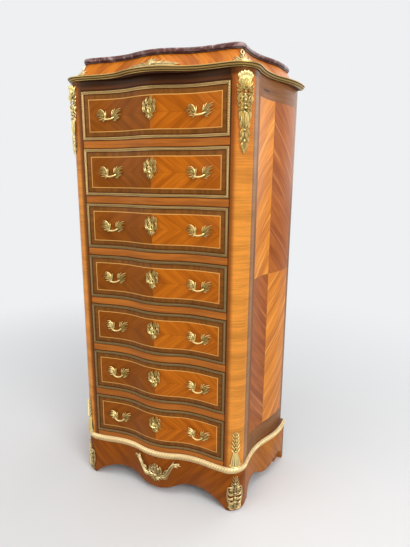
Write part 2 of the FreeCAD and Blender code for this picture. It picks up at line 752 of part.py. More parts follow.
box_z = "(places.opening_z + sizes.running_gap)"
box_top = box_z + " + sizes.box_height"
box_x = f"({front_x} - sizes.side_inset)"
box_back = f"({back_front_y} - sizes.drawer_back_gap)"
panel_z = box_z + " + sizes.bottom_lift"
drawer_side = box("drawer_side", (box_x + " - sizes.board", S + "front_back_y", box_z),
                  (box_x, box_back, box_top))
drawer_bottom = box("drawer_bottom", (f"-({box_x} - sizes.board)", S + "front_back_y", panel_z),
                    (box_x + " - sizes.board", box_back, panel_z + " + sizes.drawer_bottom"))
drawer_back = box("drawer_back",
                  (f"-({box_x} - sizes.board)", box_back + " - sizes.board",
                   panel_z + " + sizes.drawer_bottom"),
                  (box_x + " - sizes.board", box_back, box_top))
box_boards = [drawer_side, mirrored("drawer_side_left", drawer_side), drawer_bottom, drawer_back]


def face_ring(name, plan, outer, inner):
    """Frame that follows the front, between two insets from the front's edges."""
    blank = slab(name + "_slab", plan_sketch(name + "_plan", plan), front_z, front_top)
    around = box(name + "_around",
                 (f"-({front_x} - {outer})", "-" + FAR, f"{front_z} + {outer}"),
                 (f"{front_x} - {outer}", S + "front_back_y", f"{front_top} - {outer}"))
    within = box(name + "_within",
                 (f"-({front_x} - {inner})", "-" + FAR, f"{front_z} + {inner}"),
                 (f"{front_x} - {inner}", S + "front_back_y", f"{front_top} - {inner}"))
    return cut(name, common(name + "_bars", blank, around), within)


bead_blank = face_ring("bead", "bead", "0", S + "bead_width")
drawer_bead = cut("drawer_bead", bead_blank, front_slab)

# lock let into the front, and its bolt
bolt_y = "(sizes.front_back_y - sizes.lock_depth / 2)"
bolt_top = front_top + " - sizes.bolt_gap"
bolt_low = bolt_top + " - sizes.bolt_height"
lock_case = box("lock_case", ("-sizes.lock_width / 2", lock_face_y, lock_low),
                ("sizes.lock_width / 2", S + "front_back_y", front_top))
bolt_channel = box("bolt_channel",
                   ("-sizes.bolt_width / 2 - sizes.bolt_gap",
                    f"{bolt_y} - sizes.bolt_thickness / 2 - sizes.bolt_gap",
                    f"{bolt_low} - sizes.bolt_gap"),
                   ("sizes.bolt_width / 2 + sizes.bolt_gap",
                    f"{bolt_y} + sizes.bolt_thickness / 2 + sizes.bolt_gap",
                    f"{front_top} + {PAST}"))
lock_open = cut("lock_open", lock_case, bolt_channel)
drawer_lock = cut("drawer_lock", lock_open,
                  keyhole("lock_keyhole", "sizes.front_back_y - sizes.lock_depth / 2"))
lock_bolt = box("lock_bolt",
                ("-sizes.bolt_width / 2", f"{bolt_y} - sizes.bolt_thickness / 2", bolt_low),
                ("sizes.bolt_width / 2", f"{bolt_y} + sizes.bolt_thickness / 2", bolt_top))


# handles and escutcheon: castings whose backs are cut to the curve of the front
def fan(centre, tip, notch, first, last, leaves, root):
    """Palmette: pointed leaves between two angles, closed round a root behind them."""
    spread = (last - first) / (leaves - 1)
    corners = [polar(centre, root, first - 90)]
    for leaf in range(leaves):
        corners.append(polar(centre, tip, first + leaf * spread))
        if leaf < leaves - 1:
            corners.append(polar(centre, notch, first + (leaf + 0.5) * spread))
    corners.append(polar(centre, root, last + 90))
    return corners


handle_z = (middle_z + size("handle_lift"), f"{front_middle} + sizes.handle_lift")
tuft_depth = "sizes.tuft_relief + sizes.tuft_swell"


# the bail: a square bar set on edge, bent through half a turn in even facets
FACETS = 6
BAR_CORNERS = range(0, 360, 90)


def bail(name):
    """Bar that hangs in a half ring, in its own plane; the section starts it at one end."""
    origin = ((0, 0), ("0", "0"))
    bends = [polar(origin, both("bail_radius"), -180 * bend / FACETS)
             for bend in range(FACETS + 1)]
    route = doc.addObject("Sketcher::SketchObject", name + "_route")
    path = PathSketch(route)
    for step, (here, there) in enumerate(zip(bends, bends[1:])):
        path.line(here[0], there[0])
        if step == 0:
            path.pin(path.first, here[0], *here[1])
        path.pin(path.last, there[0], *there[1])
    path.finish()
    start = (bends[0][0], bends[0][1])
    section = outline_sketch(name + "_section", [polar(start, both("bail_section"), corner)
                                                 for corner in BAR_CORNERS])
    bar = doc.addObject("Part::Sweep", name)
    bar.Sections = [section]
    bar.Spine = (route, [f"Edge{n + 1}" for n in range(FACETS)])
    bar.Solid = True
    bar.Transition = "Right corner"
    return bar


def handle(side):
    """Casting at one side of the front: two leaf tufts and the bail between them."""
    name = f"handle_{side}"
    centre_term = "sizes.handle_x" if side == "right" else "-sizes.handle_x"
    centre = size("handle_x") if side == "right" else -size("handle_x")
    pieces = []
    for end, hand, angles in (("inner", -1, (75, 190)), ("outer", 1, (-10, 105))):
        x = (centre + hand * size("bail_radius"), f"{centre_term} + {hand} * sizes.bail_radius")
        corners = fan(((x[0], handle_z[0]), (x[1], handle_z[1])), both("leaf_length"),
                      both("tuft_radius"), *angles, 3, both("tuft_radius"))
        leaves = outline_sketch(f"{name}_{end}_leaves", corners)
        pieces.append(upright(f"{name}_{end}_tuft", leaves, P + "case_hollow_y", tuft_depth))
    bar = bail(name + "_bail")
    bar.Placement.Rotation = FreeCAD.Rotation(FreeCAD.Vector(1, 0, 0), 90)
    bind(bar, {"Placement.Rotation.Angle": "90 - sizes.bail_tilt",
               "Placement.Base.x": centre_term,
               "Placement.Base.y": "places.case_hollow_y - sizes.tuft_relief"
                                   " + sizes.bail_sink * sin(sizes.bail_tilt)",
               "Placement.Base.z": f"{handle_z[1]} + sizes.bail_sink * cos(sizes.bail_tilt)"})
    return cut(name, fuse(name + "_casting", pieces + [bar]), front_slab)


# the plate is taller than wide: leaves at its top and foot, short scrolls at its sides
PLATE_LOBES = (0.9, 0.62, 1.05, 1.5, 1.1, 0.66, 0.86, 0.6, 0.95, 1.42, 0.9, 0.6)
BOSS_CORNERS = 6


def key_ring(name, shares, depth):
    """Outline round the keyhole, each corner at a share of the plate's radius, thickened."""
    radius, radius_term = both("plate_radius")
    corners = [polar(key_point, (share * radius, f"{share} * {radius_term}"),
                     corner * 360 / len(shares)) for corner, share in enumerate(shares)]
    return upright(name, outline_sketch(name + "_outline", corners), "0", depth)


plate = key_ring("plate_blank", PLATE_LOBES, "sizes.case_crest + sizes.plate_thickness")
plate_boss = key_ring("plate_boss", (0.5,) * BOSS_CORNERS,
                      "sizes.case_crest + sizes.plate_thickness + sizes.boss_rise")
plate_whole = cut("plate_whole", fuse("plate_casting", [plate, plate_boss]), front_slab)
escutcheon = cut("escutcheon", plate_whole, keyhole("plate_keyhole", "0"))

drawer = {"front": [drawer_front], "box": box_boards, "moulding": [drawer_bead],
          "lock": [drawer_lock], "bolt": [lock_bolt],
          "mounts": [handle("left"), handle("right"), escutcheon]}
for number in range(1, DRAWERS + 1):
    for kind, pieces in drawer.items():
        node(f"drawer_{number}_{kind}", pieces, f"{DRAWERS - number} * places.pitch")

# ------------------------------------------------------------------------------------------------
# Plinth: aprons with a scalloped lower edge, a back board and blocks in the corners
# ------------------------------------------------------------------------------------------------
plinth_block = slab("plinth_block", plan_sketch("plinth_plan", "plinth"), "0", P + "board_z")
pit_slab = slab("pit_slab", plan_sketch("pit_plan", "pit"), "-" + PAST, P + "board_z")
behind_apron = box("behind_apron", ("-" + FAR, P + "pit_hollow_y", "-" + PAST),
                   (FAR, P + "pit_back_y", P + "board_z"))
pit_block = common("pit_block", pit_slab, behind_apron)
plinth_ring = cut("plinth_ring", plinth_block, pit_block)


BELOW_FLOOR = -5       # level of the scallops' cutters under the feet


def scallop(name, corners, facing_side):
    """Cutter under an apron: an arc rises from each foot, and ogees join the points between."""
    sketch = doc.addObject("Sketcher::SketchObject", name + "_edge")
    turn = FreeCAD.Rotation(FreeCAD.Vector(1, 0, 0), 90)
    if facing_side:
        turn = FreeCAD.Rotation(FreeCAD.Vector(0, 0, 1), 90).multiply(turn)
    sketch.Placement.Rotation = turn
    path = PathSketch(sketch)
    last_step = len(corners) - 2
    for step, (here, there) in enumerate(zip(corners, corners[1:])):
        if step in (0, last_step):
            path.shoulder(here[0], there[0], here[1], there[1])
        else:
            path.ogee(here[0], there[0], here[1], there[1], False)
        if step == 0:
            path.pin(path.first, here[0], *here[1])
        path.pin(path.last, there[0], *there[1])
    last, first = corners[-1], corners[0]
    path.line(last[0], (last[0][0], BELOW_FLOOR))
    path.pin(path.last, (last[0][0], BELOW_FLOOR), last[1][0], str(BELOW_FLOOR))
    path.line((last[0][0], BELOW_FLOOR), (first[0][0], BELOW_FLOOR))
    path.pin(path.last, (first[0][0], BELOW_FLOOR), first[1][0], str(BELOW_FLOOR))
    path.line((first[0][0], BELOW_FLOOR), first[0])
    path.close()
    path.finish()
    feature = doc.addObject("Part::Extrusion", name)
    feature.Base = sketch
    feature.DirMode = "Custom"
    feature.Dir = FreeCAD.Vector(1, 0, 0) if facing_side else FreeCAD.Vector(0, -1, 0)
    feature.Solid = True
    return feature


front_curve = []
for hand in (-1, 1):
    half = [((hand * size("foot_x"), 0), (f"{hand} * sizes.foot_x", "0")),
            ((hand * size("apron_arch_x"), size("apron_arch")),
             (f"{hand} * sizes.apron_arch_x", S + "apron_arch"))]
    if hand < 0:
        front_curve += half + [((0, size("apron_drop")), ("0", S + "apron_drop"))]
    else:
        front_curve += half[::-1]
front_scallop = bind(scallop("front_scallop", front_curve, False),
                     {"LengthFwd": THROUGH, "Placement.Base.y": "places.pit_hollow_y + " + PAST})
foot, reach_in, end = size("side_foot"), size("side_arch_reach"), size("case_depth")
back_edge = end - size("back_foot")
side_points = [
    ((foot, 0), (S + "side_foot", "0")),
    ((foot + reach_in, size("side_arch")),
     ("sizes.side_foot + sizes.side_arch_reach", S + "side_arch")),
    (((foot + back_edge) / 2, size("side_drop")),
     ("(sizes.side_foot + sizes.case_depth - sizes.back_foot) / 2", S + "side_drop")),
    ((back_edge - reach_in, size("side_arch")),
     ("sizes.case_depth - sizes.back_foot - sizes.side_arch_reach", S + "side_arch")),
    ((back_edge, 0), ("sizes.case_depth - sizes.back_foot", "0")),
]
side_scallop = bind(scallop("side_scallop", side_points, True),
                    {"LengthFwd": "2 * " + FAR, "Placement.Base.x": "-" + FAR})
aprons = cut("aprons", plinth_ring, fuse("scallops", [front_scallop, side_scallop]))
front_part = box("front_part", ("-" + FAR, "-" + FAR, "0"), (FAR, S + "post_depth", HIGH))
node("plinth_front", [common("front_apron", aprons, front_part)])
rear_part = box("rear_part", ("0", S + "post_depth", "0"), (FAR, P + "case_back_y", HIGH))
right_apron = common("right_apron", aprons, rear_part)
back_apron_y = "places.case_back_y - sizes.plinth_wall"
back_apron_zone = box("back_apron_zone", ("-" + FAR, back_apron_y, S + "side_arch"),
                      (FAR, P + "case_back_y", P + "board_z"))
back_apron = common("back_apron", pit_block, back_apron_zone)
blocks = []
for back, y in ((False, "sizes.plinth_wall + sizes.corner_radius / 2"),
                (True, back_apron_y + " - sizes.foot_block")):
    inner_x = "sizes.case_front_x - sizes.plinth_wall - sizes.foot_block"
    zone = box(f"block_zone_{int(back)}", (inner_x, y, "0"),
               (FAR if back else inner_x + " + sizes.foot_block", f"{y} + sizes.foot_block",
                P + "board_z"))
    block = common(f"foot_block_{int(back)}", pit_block, zone)
    blocks += [block, mirrored(f"foot_block_{int(back)}_left", block)]
node("plinth_frame", [right_apron, mirrored("left_apron", right_apron), back_apron] + blocks)

# ------------------------------------------------------------------------------------------------
# Gilt mounts: each is a plate and a raised middle, both cut to the surface that they lie on
# ------------------------------------------------------------------------------------------------
CORNER_TURN = 40       # degrees from the front at which the corner mounts are centred


def pendant(name, stations, width, height, turn, tilt=0):
    """Symmetrical outline hanging from its top point, given as shares of width and height."""
    (wide, wide_term), (tall, tall_term) = width, height
    right = [((a * wide, -b * tall), (f"{a} * {wide_term}", f"-{b} * {tall_term}"))
             for a, b in stations]
    left = [((-x, z), (f"-({x_term})", z_term)) for (x, z), (x_term, z_term) in right[-2:0:-1]]
    sketch = outline_sketch(name, right + left)
    upright_turn = FreeCAD.Rotation(FreeCAD.Vector(1, 0, 0), 90 - tilt)
    sketch.Placement.Rotation = FreeCAD.Rotation(FreeCAD.Vector(0, 0, 1), turn).multiply(
        upright_turn)
    return sketch


def prism(name, sketch, direction, depth, base):
    """Outline driven outward through the surface that the mount lies on."""
    feature = doc.addObject("Part::Extrusion", name)
    feature.Base = sketch
    feature.DirMode = "Custom"
    feature.Dir = direction
    feature.Solid = True
    corner = {f"Placement.Base.{axis}": f"{a}" for axis, a in zip("xyz", base)}
    return bind(feature, {"LengthFwd": depth, **corner})


def corner_mount(name, stations, half_width, length, top_z, plan, seat):
    """Pair of castings bent round the front corners, between a wider plan and their seat."""
    turn = math.radians(CORNER_TURN)
    outward = FreeCAD.Vector(math.sin(turn), -math.cos(turn), 0)
    outline = pendant(name + "_outline", stations, half_width, length, CORNER_TURN)
    shaft = prism(name + "_prism", outline, outward, FAR,
                  (P + "case_shoulder_x", P + "case_corner_y", top_z))
    shell = slab(name + "_shell", plan_sketch(name + "_plan", plan), "0", P + "top_board_z")
    right = cut(name + "_right", common(name + "_casting", shaft, shell), seat)
    return [right, mirrored(name + "_left", right)]


# outlines from the top down: (share of the half width, share of the length)
CHUTE = [(0, 0), (0.6, 0.005), (1.0, 0.05), (0.8, 0.12), (0.9, 0.2), (0.45, 0.32), (0.8, 0.42),
         (0.4, 0.58), (0.5, 0.66), (0.2, 0.82), (0.3, 0.92), (0, 1)]
HUSK = [(0, 0), (0.3, 0.12), (0.24, 0.22), (0.6, 0.4), (0.5, 0.62), (1.0, 0.88), (1.0, 1.0),
        (0, 1.0)]
SABOT = [(0, 0), (0.14, 0.2), (0.42, 0.3), (0.34, 0.42), (0.8, 0.48), (0.7, 0.6), (1.0, 0.66),
         (0.85, 0.8), (0.95, 1.0), (0, 1.0)]

chutes = corner_mount("chute", CHUTE, both("chute_width"), both("chute_length"),
                      "places.top_board_z - sizes.chute_top", "relief", case_block)
husks = corner_mount("husk", HUSK, both("husk_width"), both("husk_length"),
                     "places.case_z + sizes.husk_lift + sizes.husk_length", "relief", case_block)
node("corner_mounts", chutes + husks)
sabots = corner_mount("sabot", SABOT, both("sabot_width"), both("sabot_height"),
                      "sizes.sabot_lift + sizes.sabot_height", "sabot_relief", plinth_block)
node("foot_sabots", sabots)

# apron mount: a cartouche with two scrolled arms that rise from it
cartouche = ((0, size("cartouche_lift")), ("0", S + "cartouche_lift"))
shell_corners = []
CARTOUCHE_LOBES = (1.0, 0.75, 0.95, 1.3, 0.95, 0.75, 1.0, 0.72, 0.9, 1.1, 0.9, 0.72)
for lobe, share in enumerate(CARTOUCHE_LOBES):
    length = (share * size("cartouche_radius"), f"{share} * sizes.cartouche_radius")
    shell_corners.append(polar(cartouche, length, lobe * 360 / len(CARTOUCHE_LOBES)))
apron_parts = [upright("cartouche", outline_sketch("cartouche_outline", shell_corners), "0",
                       "sizes.case_crest + sizes.plinth_projection + sizes.mount_relief")]
# one arm as shares of its reach and rise: root, back of the arm, leafy tip, belly
ARM = [(0.12, 0.05), (0.62, 0.78), (0.72, 1.08), (0.95, 1.22), (1.3, 1.12), (1.2, 0.92),
       (1.45, 0.72), (1.08, 0.74), (0.6, 0.14), (0.3, -0.2)]
for hand in (-1, 1):
    corners = [((hand * a * size("arm_reach"), size("cartouche_lift") + b * size("arm_rise")),
                (f"{hand * a} * sizes.arm_reach",
                 f"sizes.cartouche_lift + {b} * sizes.arm_rise")) for a, b in ARM]
    apron_parts.append(upright(f"arm_{hand}", outline_sketch(f"arm_outline_{hand}", corners),
                               S + "case_hollow",
                               "sizes.case_hollow + sizes.plinth_projection + sizes.arm_relief"
                               " + sizes.case_crest"))
apron_reach = slab("apron_reach", plan_sketch("apron_reach_plan", "sabot_relief"), "0",
                   P + "board_z")
apron_blank = common("apron_blank", fuse("apron_casting", apron_parts), apron_reach)
node("apron_mount", [cut("apron_casting_seated", apron_blank, plinth_block)])
# cove mounts: a low leafy frieze at the centre of the front and a shell on each corner
cove_cover = cove("cove_cover", "_cover")
FRIEZE = [(0, 0), (0.3, 0.35), (0.5, 0.2), (1.0, 0.85), (1.0, 1.0), (0, 1.0)]
SHELL = [(0, 0), (0.35, 0.2), (0.6, 0.55), (1.0, 1.0), (0, 1.0)]
frieze_outline = pendant("frieze_outline", FRIEZE, both("cove_mount_length"),
                         both("cove_mount_height"), 0)
frieze_shaft = prism("frieze_shaft", frieze_outline, FreeCAD.Vector(0, -1, 0), FAR,
                     ("0", P + "case_corner_y", "places.cove_z + sizes.cove_mount_height"))
cove_centre = cut("cove_centre", common("cove_centre_blank", frieze_shaft, cove_cover), cove_block)
turn = math.radians(CORNER_TURN)
shell_outline = pendant("shell_outline", SHELL, both("cove_corner_width"), both("cove_height"),
                        CORNER_TURN)
shell_shaft = prism("shell_shaft", shell_outline,
                    FreeCAD.Vector(math.sin(turn), -math.cos(turn), 0), FAR,
                    (P + "case_shoulder_x", P + "case_corner_y", P + "marble_z"))
cove_corner = cut("cove_corner", common("cove_corner_blank", shell_shaft, cove_cover), cove_block)
node("cove_mounts", [cove_centre, cove_corner, mirrored("cove_corner_left", cove_corner)])

doc.recompute()
failed = [feature.Name for feature in doc.Objects if {"Invalid", "Error"} & set(feature.State)]
unsound = [feature.Label for feature in nodes
           if feature.Shape.isNull() or not feature.Shape.isValid()]
if failed or unsound:
    raise RuntimeError(f"failed features {failed}, unsound sub-parts {unsound}")

os.makedirs("parts", exist_ok=True)
for feature in nodes:
    feature.Shape.exportStep(f"parts/{feature.Label}.step")
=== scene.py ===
"""Semainier: veneered chest of seven drawers with brass frames, gilt mounts and a marble slab.

Laid out as an add-on and run as a script.  Lengths are metres in the frame's axes: +Z up, front
towards -Y.  Trim is made flat, x along its line, y inwards and z up, and then bent round a plan
line.  Modelling helpers take millimetres.
"""
import json
import math
from contextlib import contextmanager
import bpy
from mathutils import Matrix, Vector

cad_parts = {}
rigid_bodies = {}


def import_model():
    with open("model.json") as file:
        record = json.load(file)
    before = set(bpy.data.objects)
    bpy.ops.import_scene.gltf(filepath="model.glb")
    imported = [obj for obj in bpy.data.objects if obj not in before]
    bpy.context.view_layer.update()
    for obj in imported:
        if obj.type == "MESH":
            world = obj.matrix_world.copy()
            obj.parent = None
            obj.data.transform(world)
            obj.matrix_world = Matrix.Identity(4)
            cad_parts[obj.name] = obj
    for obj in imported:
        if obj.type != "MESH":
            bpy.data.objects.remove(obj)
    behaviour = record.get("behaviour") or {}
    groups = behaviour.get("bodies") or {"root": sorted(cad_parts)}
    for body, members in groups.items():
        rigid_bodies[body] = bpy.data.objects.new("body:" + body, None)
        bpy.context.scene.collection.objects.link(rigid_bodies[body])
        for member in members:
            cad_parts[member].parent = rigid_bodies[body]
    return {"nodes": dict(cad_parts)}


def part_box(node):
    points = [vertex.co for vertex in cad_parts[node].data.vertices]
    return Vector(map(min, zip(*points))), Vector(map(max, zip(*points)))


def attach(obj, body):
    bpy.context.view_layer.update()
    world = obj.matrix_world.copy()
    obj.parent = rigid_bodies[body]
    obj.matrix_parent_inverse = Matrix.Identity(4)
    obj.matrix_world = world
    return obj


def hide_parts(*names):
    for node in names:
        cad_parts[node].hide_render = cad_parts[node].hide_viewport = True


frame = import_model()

from types import SimpleNamespace

import bpy
from bpy.props import FloatProperty, FloatVectorProperty, IntProperty, PointerProperty
from mathutils import Matrix, Vector

bl_info = {
    "name": "Semainier",
    "version": (1, 0, 0),
    "blender": (4, 5, 0),
    "location": "View3D > Sidebar > Semainier",
    "description": "Dresses the frame of a veneered seven-drawer chest",
    "category": "Object",
}

MM = 0.001
DRAWERS = 7
# the case in plan, in millimetres from the shoulders of its front
SHOULDER, POST, BACK = 242, 50, 343
CASE_SHIFT = -151            # from the shoulders to the frame's origin
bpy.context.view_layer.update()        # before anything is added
BACKDROP = (0.86, 0.87, 0.88)


def top_of(node):
    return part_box(node)[1].z


def foot_of(node):
    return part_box(node)[0].z


def span(node):
    """Low and high corner of a CAD node in millimetres."""
    return [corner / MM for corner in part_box(node)]


# ------------------------------------------------------------------------------------------------
# Settings
# ------------------------------------------------------------------------------------------------
def colour_setting(name, description, red, green, blue):
    """A colour given in display values from 0 to 255 and kept as light."""
    light = [channel_light(value / 255) for value in (red, green, blue)]
    return FloatVectorProperty(name=name, description=description, subtype="COLOR", size=3,
                               min=0, max=1, default=light)


def channel_light(value):
    return value / 12.92 if value <= 0.04045 else ((value + 0.055) / 1.055) ** 2.4


def length_setting(name, description, metres):
    return FloatProperty(name=name, description=description, default=metres, unit="LENGTH")


class SemainierSizes(bpy.types.PropertyGroup):
    """Sizes of the trim that is made here; the case's sizes come from the frame."""
    rib_pitch: length_setting("Rib pitch", "Spacing of the ribs along the brass frames", 0.0068)
    frame_width: length_setting("Frame width", "Width of the drawers' brass frames", 0.007)
    frame_rise: length_setting("Frame rise", "Projection of the drawers' brass frames", 0.0028)
    leaf_pitch: length_setting("Leaf pitch", "Spacing of leaves along the base moulding", 0.0088)
    handle_x: length_setting("Handle place", "Centre of a handle from the chest's middle", 0.145)
    keyhole_drop: length_setting("Keyhole drop", "Keyholes below the fronts' top edges", 0.064)
    husk_length: length_setting("Husk length", "Length of the husks on the posts", 0.124)
    apron_mount: length_setting("Apron mount", "Height of the apron mount's centre", 0.070)
    edge_wear: length_setting("Edge softness", "Rounding of the veneered edges", 0.0008)
    front_wear: length_setting("Front softness", "Rounding of the drawer fronts", 0.0005)
    plan_steps: IntProperty(
        name="Plan steps", description="Divisions of each curve of a plan line", default=28,
        min=6, max=80)


class SemainierColours(bpy.types.PropertyGroup):
    """Main colours of the finishes."""
    tulipwood: colour_setting("Tulipwood", "Light stripes of the quartered veneer", 192, 105, 20)
    tulipwood_dark: colour_setting("Tulipwood, dark", "Dark stripes of the quartered veneer",
                                   152, 76, 11)
    crossband: colour_setting("Crossband", "Borders of kingwood round the panels", 112, 66, 24)
    stringing: colour_setting("Stringing", "Thin light inlaid line", 214, 160, 84)
    post: colour_setting("Post", "Golden rippled veneer of the corner posts", 226, 145, 58)
    # the frieze's dark tone is partly its own dark veneer and partly painted shade of the cornice
    # above
    frieze: colour_setting("Frieze", "Dark rail over the top drawer", 80, 43, 22)
    marble: colour_setting("Marble", "Ground of the slab", 84, 44, 36)
    brass: colour_setting("Brass", "Aged brass of the drawers' frames", 234, 194, 126)
    gilt: colour_setting("Gilt", "Bright gilding of the mounts", 246, 222, 148)
    oak: colour_setting("Oak", "Drawer linings and runners", 186, 146, 98)


# ------------------------------------------------------------------------------------------------
# Modelling helpers
# ------------------------------------------------------------------------------------------------
def release():
    """Leave edit mode and let go of every object."""
    active = bpy.context.view_layer.objects.active
    if active is not None and active.mode != "OBJECT":
        bpy.ops.object.mode_set(mode="OBJECT")
    bpy.ops.object.select_all(action="DESELECT")


def hold(*pieces):
    """Select only these pieces; the first is the active one."""
    release()
    for piece in pieces:
        piece.select_set(True)
    bpy.context.view_layer.objects.active = pieces[0]


@contextmanager
def editing(piece):
    """Edit the mesh of a piece, all of it selected."""
    hold(piece)
    bpy.ops.object.mode_set(mode="EDIT")
    bpy.ops.mesh.select_all(action="SELECT")
    yield
    bpy.ops.object.mode_set(mode="OBJECT")


def settle(piece):
    """Move the object's place into its mesh."""
    hold(piece)
    bpy.ops.object.transform_apply(location=True, rotation=True, scale=True)


def shift(piece, x=0.0, y=0.0, z=0.0):
    """Move the mesh of a piece, in metres."""
    hold(piece)
    bpy.ops.transform.translate(value=(x, y, z))
    settle(piece)


def name_piece(piece, name):
    piece.name = name
    piece.data.name = name


def joined(name, pieces):
    """One piece from several."""
    hold(*pieces)
    if len(pieces) > 1:
        bpy.ops.object.join()
    name_piece(pieces[0], name)
    return pieces[0]


def apply_modifier(piece, kind, **settings):
    modifier = piece.modifiers.new(kind.lower(), kind)
    for key, value in settings.items():
        setattr(modifier, key, value)
    hold(piece)
    bpy.ops.object.modifier_apply(modifier=modifier.name)


def face_outwards(piece, merge=0.00001):
    """Merge doubled corners and turn the faces outwards."""
    with editing(piece):
        bpy.ops.mesh.remove_doubles(threshold=merge)
        bpy.ops.mesh.normals_make_consistent(inside=False)


def smooth(piece, angle=35):
    hold(piece)
    bpy.ops.object.shade_smooth_by_angle(angle=math.radians(angle))


def copy_of(piece, name, lift=0.0):
    """A copy with its own mesh, higher up by a lift."""
    hold(piece)
    bpy.ops.object.duplicate(linked=False)
    twin = bpy.context.active_object
    name_piece(twin, name)
    shift(twin, z=lift)
    return twin


def mirror_of(piece, name):
    """The same piece on the other hand."""
    twin = copy_of(piece, name)
    hold(twin)
    bpy.ops.transform.resize(value=(-1, 1, 1), center_override=(0, 0, 0))
    settle(twin)
    face_outwards(twin)
    return twin


def dress_copy(node, name, bevel=0.0):
    """A merged copy of a CAD node, shaded smooth, its edges softened where a bevel is given, to
    show in its place.
    """
    source = frame["nodes"][node]
    hold(source)
    bpy.ops.object.duplicate(linked=False)
    piece = bpy.context.active_object
    for key in [key for key in piece.keys() if key.startswith("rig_")]:
        del piece[key]
    bpy.ops.object.parent_clear(type="CLEAR_KEEP_TRANSFORM")
    name_piece(piece, name)
    settle(piece)
    bpy.ops.mesh.customdata_custom_splitnormals_clear()
    with editing(piece):
        bpy.ops.mesh.remove_doubles(threshold=0.00002)
        bpy.ops.mesh.dissolve_limited(angle_limit=math.radians(0.3))
    if bevel:
        apply_modifier(piece, "BEVEL", width=bevel, segments=2, limit_method="ANGLE",
                       angle_limit=math.radians(40), use_clamp_overlap=True)
    smooth(piece)
    return piece


# plan lines -------------------------------------------------------------------------------------
def ogee(start, end, steps, sideways=False):
    """Two equal arcs that meet in the middle, both ends running level with the front."""
    if sideways:
        turned = ogee(start[::-1], end[::-1], steps)
        return [(x, y) for y, x in turned]
    run, rise = end[0] - start[0], end[1] - start[1]
    radius = (run * run + rise * rise) / (4 * abs(rise))
    half = abs(run) / 2
    points = []
    for step in range(steps):
        along = abs(run) * step / steps
        if along <= half:
            climb = radius - math.sqrt(radius ** 2 - along ** 2)
        else:
            climb = abs(rise) - radius + math.sqrt(radius ** 2 - (abs(run) - along) ** 2)
        points.append((start[0] + math.copysign(along, run),
                       start[1] + math.copysign(climb, rise)))
    return points


class PlanLine:
    """A line in plan round the chest, from the back of its left side to the back of its right.

    In millimetres: the crest at the middle of the front (y), the hollow and the shoulder beside
    it (x, y), the plane of the side (x), the radius of the corner, the place where the side
    starts to flare out (y) and its rear end (x, y).
    """

    def __init__(self, name, crest, hollow, shoulder, front_x, corner, flare_y, back):
        steps = bpy.context.scene.semainier_sizes.plan_steps
        half = ogee((0, crest), hollow, steps) + ogee(hollow, shoulder, steps)
        for step in range(steps):
            turn = math.pi / 2 * step / steps
            half.append((shoulder[0] + corner * math.sin(turn),
                         shoulder[1] + corner * (1 - math.cos(turn))))
        corner_y = shoulder[1] + corner
        half.append((front_x, corner_y))
        flare = ogee((front_x, flare_y), back, steps, sideways=True)
        # a straight run between corner and flare, where there is room for one
        if flare_y > corner_y + 1:
            half += [(front_x, (flare_y + corner_y) / 2)] + flare
        else:
            half += flare[1:]
        half.append(back)
        self.right = [Vector((x, y + CASE_SHIFT)) * MM for x, y in half]
        left = [Vector((-point.x, point.y)) for point in self.right[:0:-1]]
        self.points = left + self.right
        self.marks = [0.0]
        for here, there in zip(self.right, self.right[1:]):
            self.marks.append(self.marks[-1] + (there - here).length)
        self.half = self.marks[-1]
        self.name = name

    def reach(self, x):
        """Length along the line from the centre to a place on the front, x in metres."""
        for here, there, mark in zip(self.right, self.right[1:], self.marks):
            if here.x <= abs(x) <= there.x and there.x > here.x:
                share = (abs(x) - here.x) / (there.x - here.x)
                return math.copysign(mark + share * (there - here).length, x)
        raise ValueError("outside the front")

    def guide(self):
        """The line as a curve object, for bending along it."""
        corners = [(point.x / MM, point.y / MM, 0) for point in self.points]
        return curve_object("guide_" + self.name, "POLY", corners, "2D")[0]


def bend(piece, line):
    """Lay a piece that was made flat round a plan line."""
    shift(piece, x=line.half)
    guide = line.guide()
    apply_modifier(piece, "CURVE", object=guide, deform_axis="POS_X")
    bpy.data.curves.remove(guide.data)
    return piece


def case_line(name="case", back_x=350, out=0):
    """The front and sides of the case, or a line a little outside them."""
    return PlanLine(name, -10 - out, (125, 10 - out), (SHOULDER, -out), 292 + out, POST + out, 76,
                    (back_x + out, BACK))


def plinth_line():
    """Just outside the front of the apron."""
    return case_line("plinth", 361, 3)


def cornice_line():
    """The edge of the top board."""
    return PlanLine("cornice", -29, (150, 5), (SHOULDER, 0), 292, POST, 76, (361, BACK))


def marble_line(out):
    """The edge of the slab, or a line within it where out is negative."""
    return PlanLine("marble", 16 - out, (135, 39 - out), (231, 34 - out), 257 + out, 26 + out, 74,
                    (320 + out, BACK))


def cove_line():
    """Half way in between the foot and the neck of the cove."""
    return PlanLine("cove", 3, (142, 32), (236.5, 27), 264.5, 28, 75, (332, BACK))


# flat trim --------------------------------------------------------------------------------------
def flat_face(corners):
    """One face through (x, y, z) corners in millimetres."""
    release()
    bpy.ops.mesh.primitive_circle_add(vertices=len(corners), radius=1, fill_type="NGON")
    piece = bpy.context.active_object
    for vertex, corner in zip(piece.data.vertices, corners):
        vertex.co = [value * MM for value in corner]
    return piece


def draw_out(piece, way, bays=1):
    """Extrude a face along a way in metres, in equal bays."""
    with editing(piece):
        for _ in range(bays):
            bpy.ops.mesh.extrude_region_move(
                TRANSFORM_OT_translate={"value": [part / bays for part in way]})
    face_outwards(piece)
    return piece


def moulded(name, outline, line, level, bays, angle):
    """A plain moulding round the chest, from (out, up) corners in millimetres."""
    piece = flat_face([(0, -out, up) for out, up in outline])
    shift(piece, x=-line.half)
    draw_out(piece, (2 * line.half, 0, 0), bays)
    shift(piece, z=level)
    bend(piece, line)
    name_piece(piece, name)
    smooth(piece, angle)
    return piece


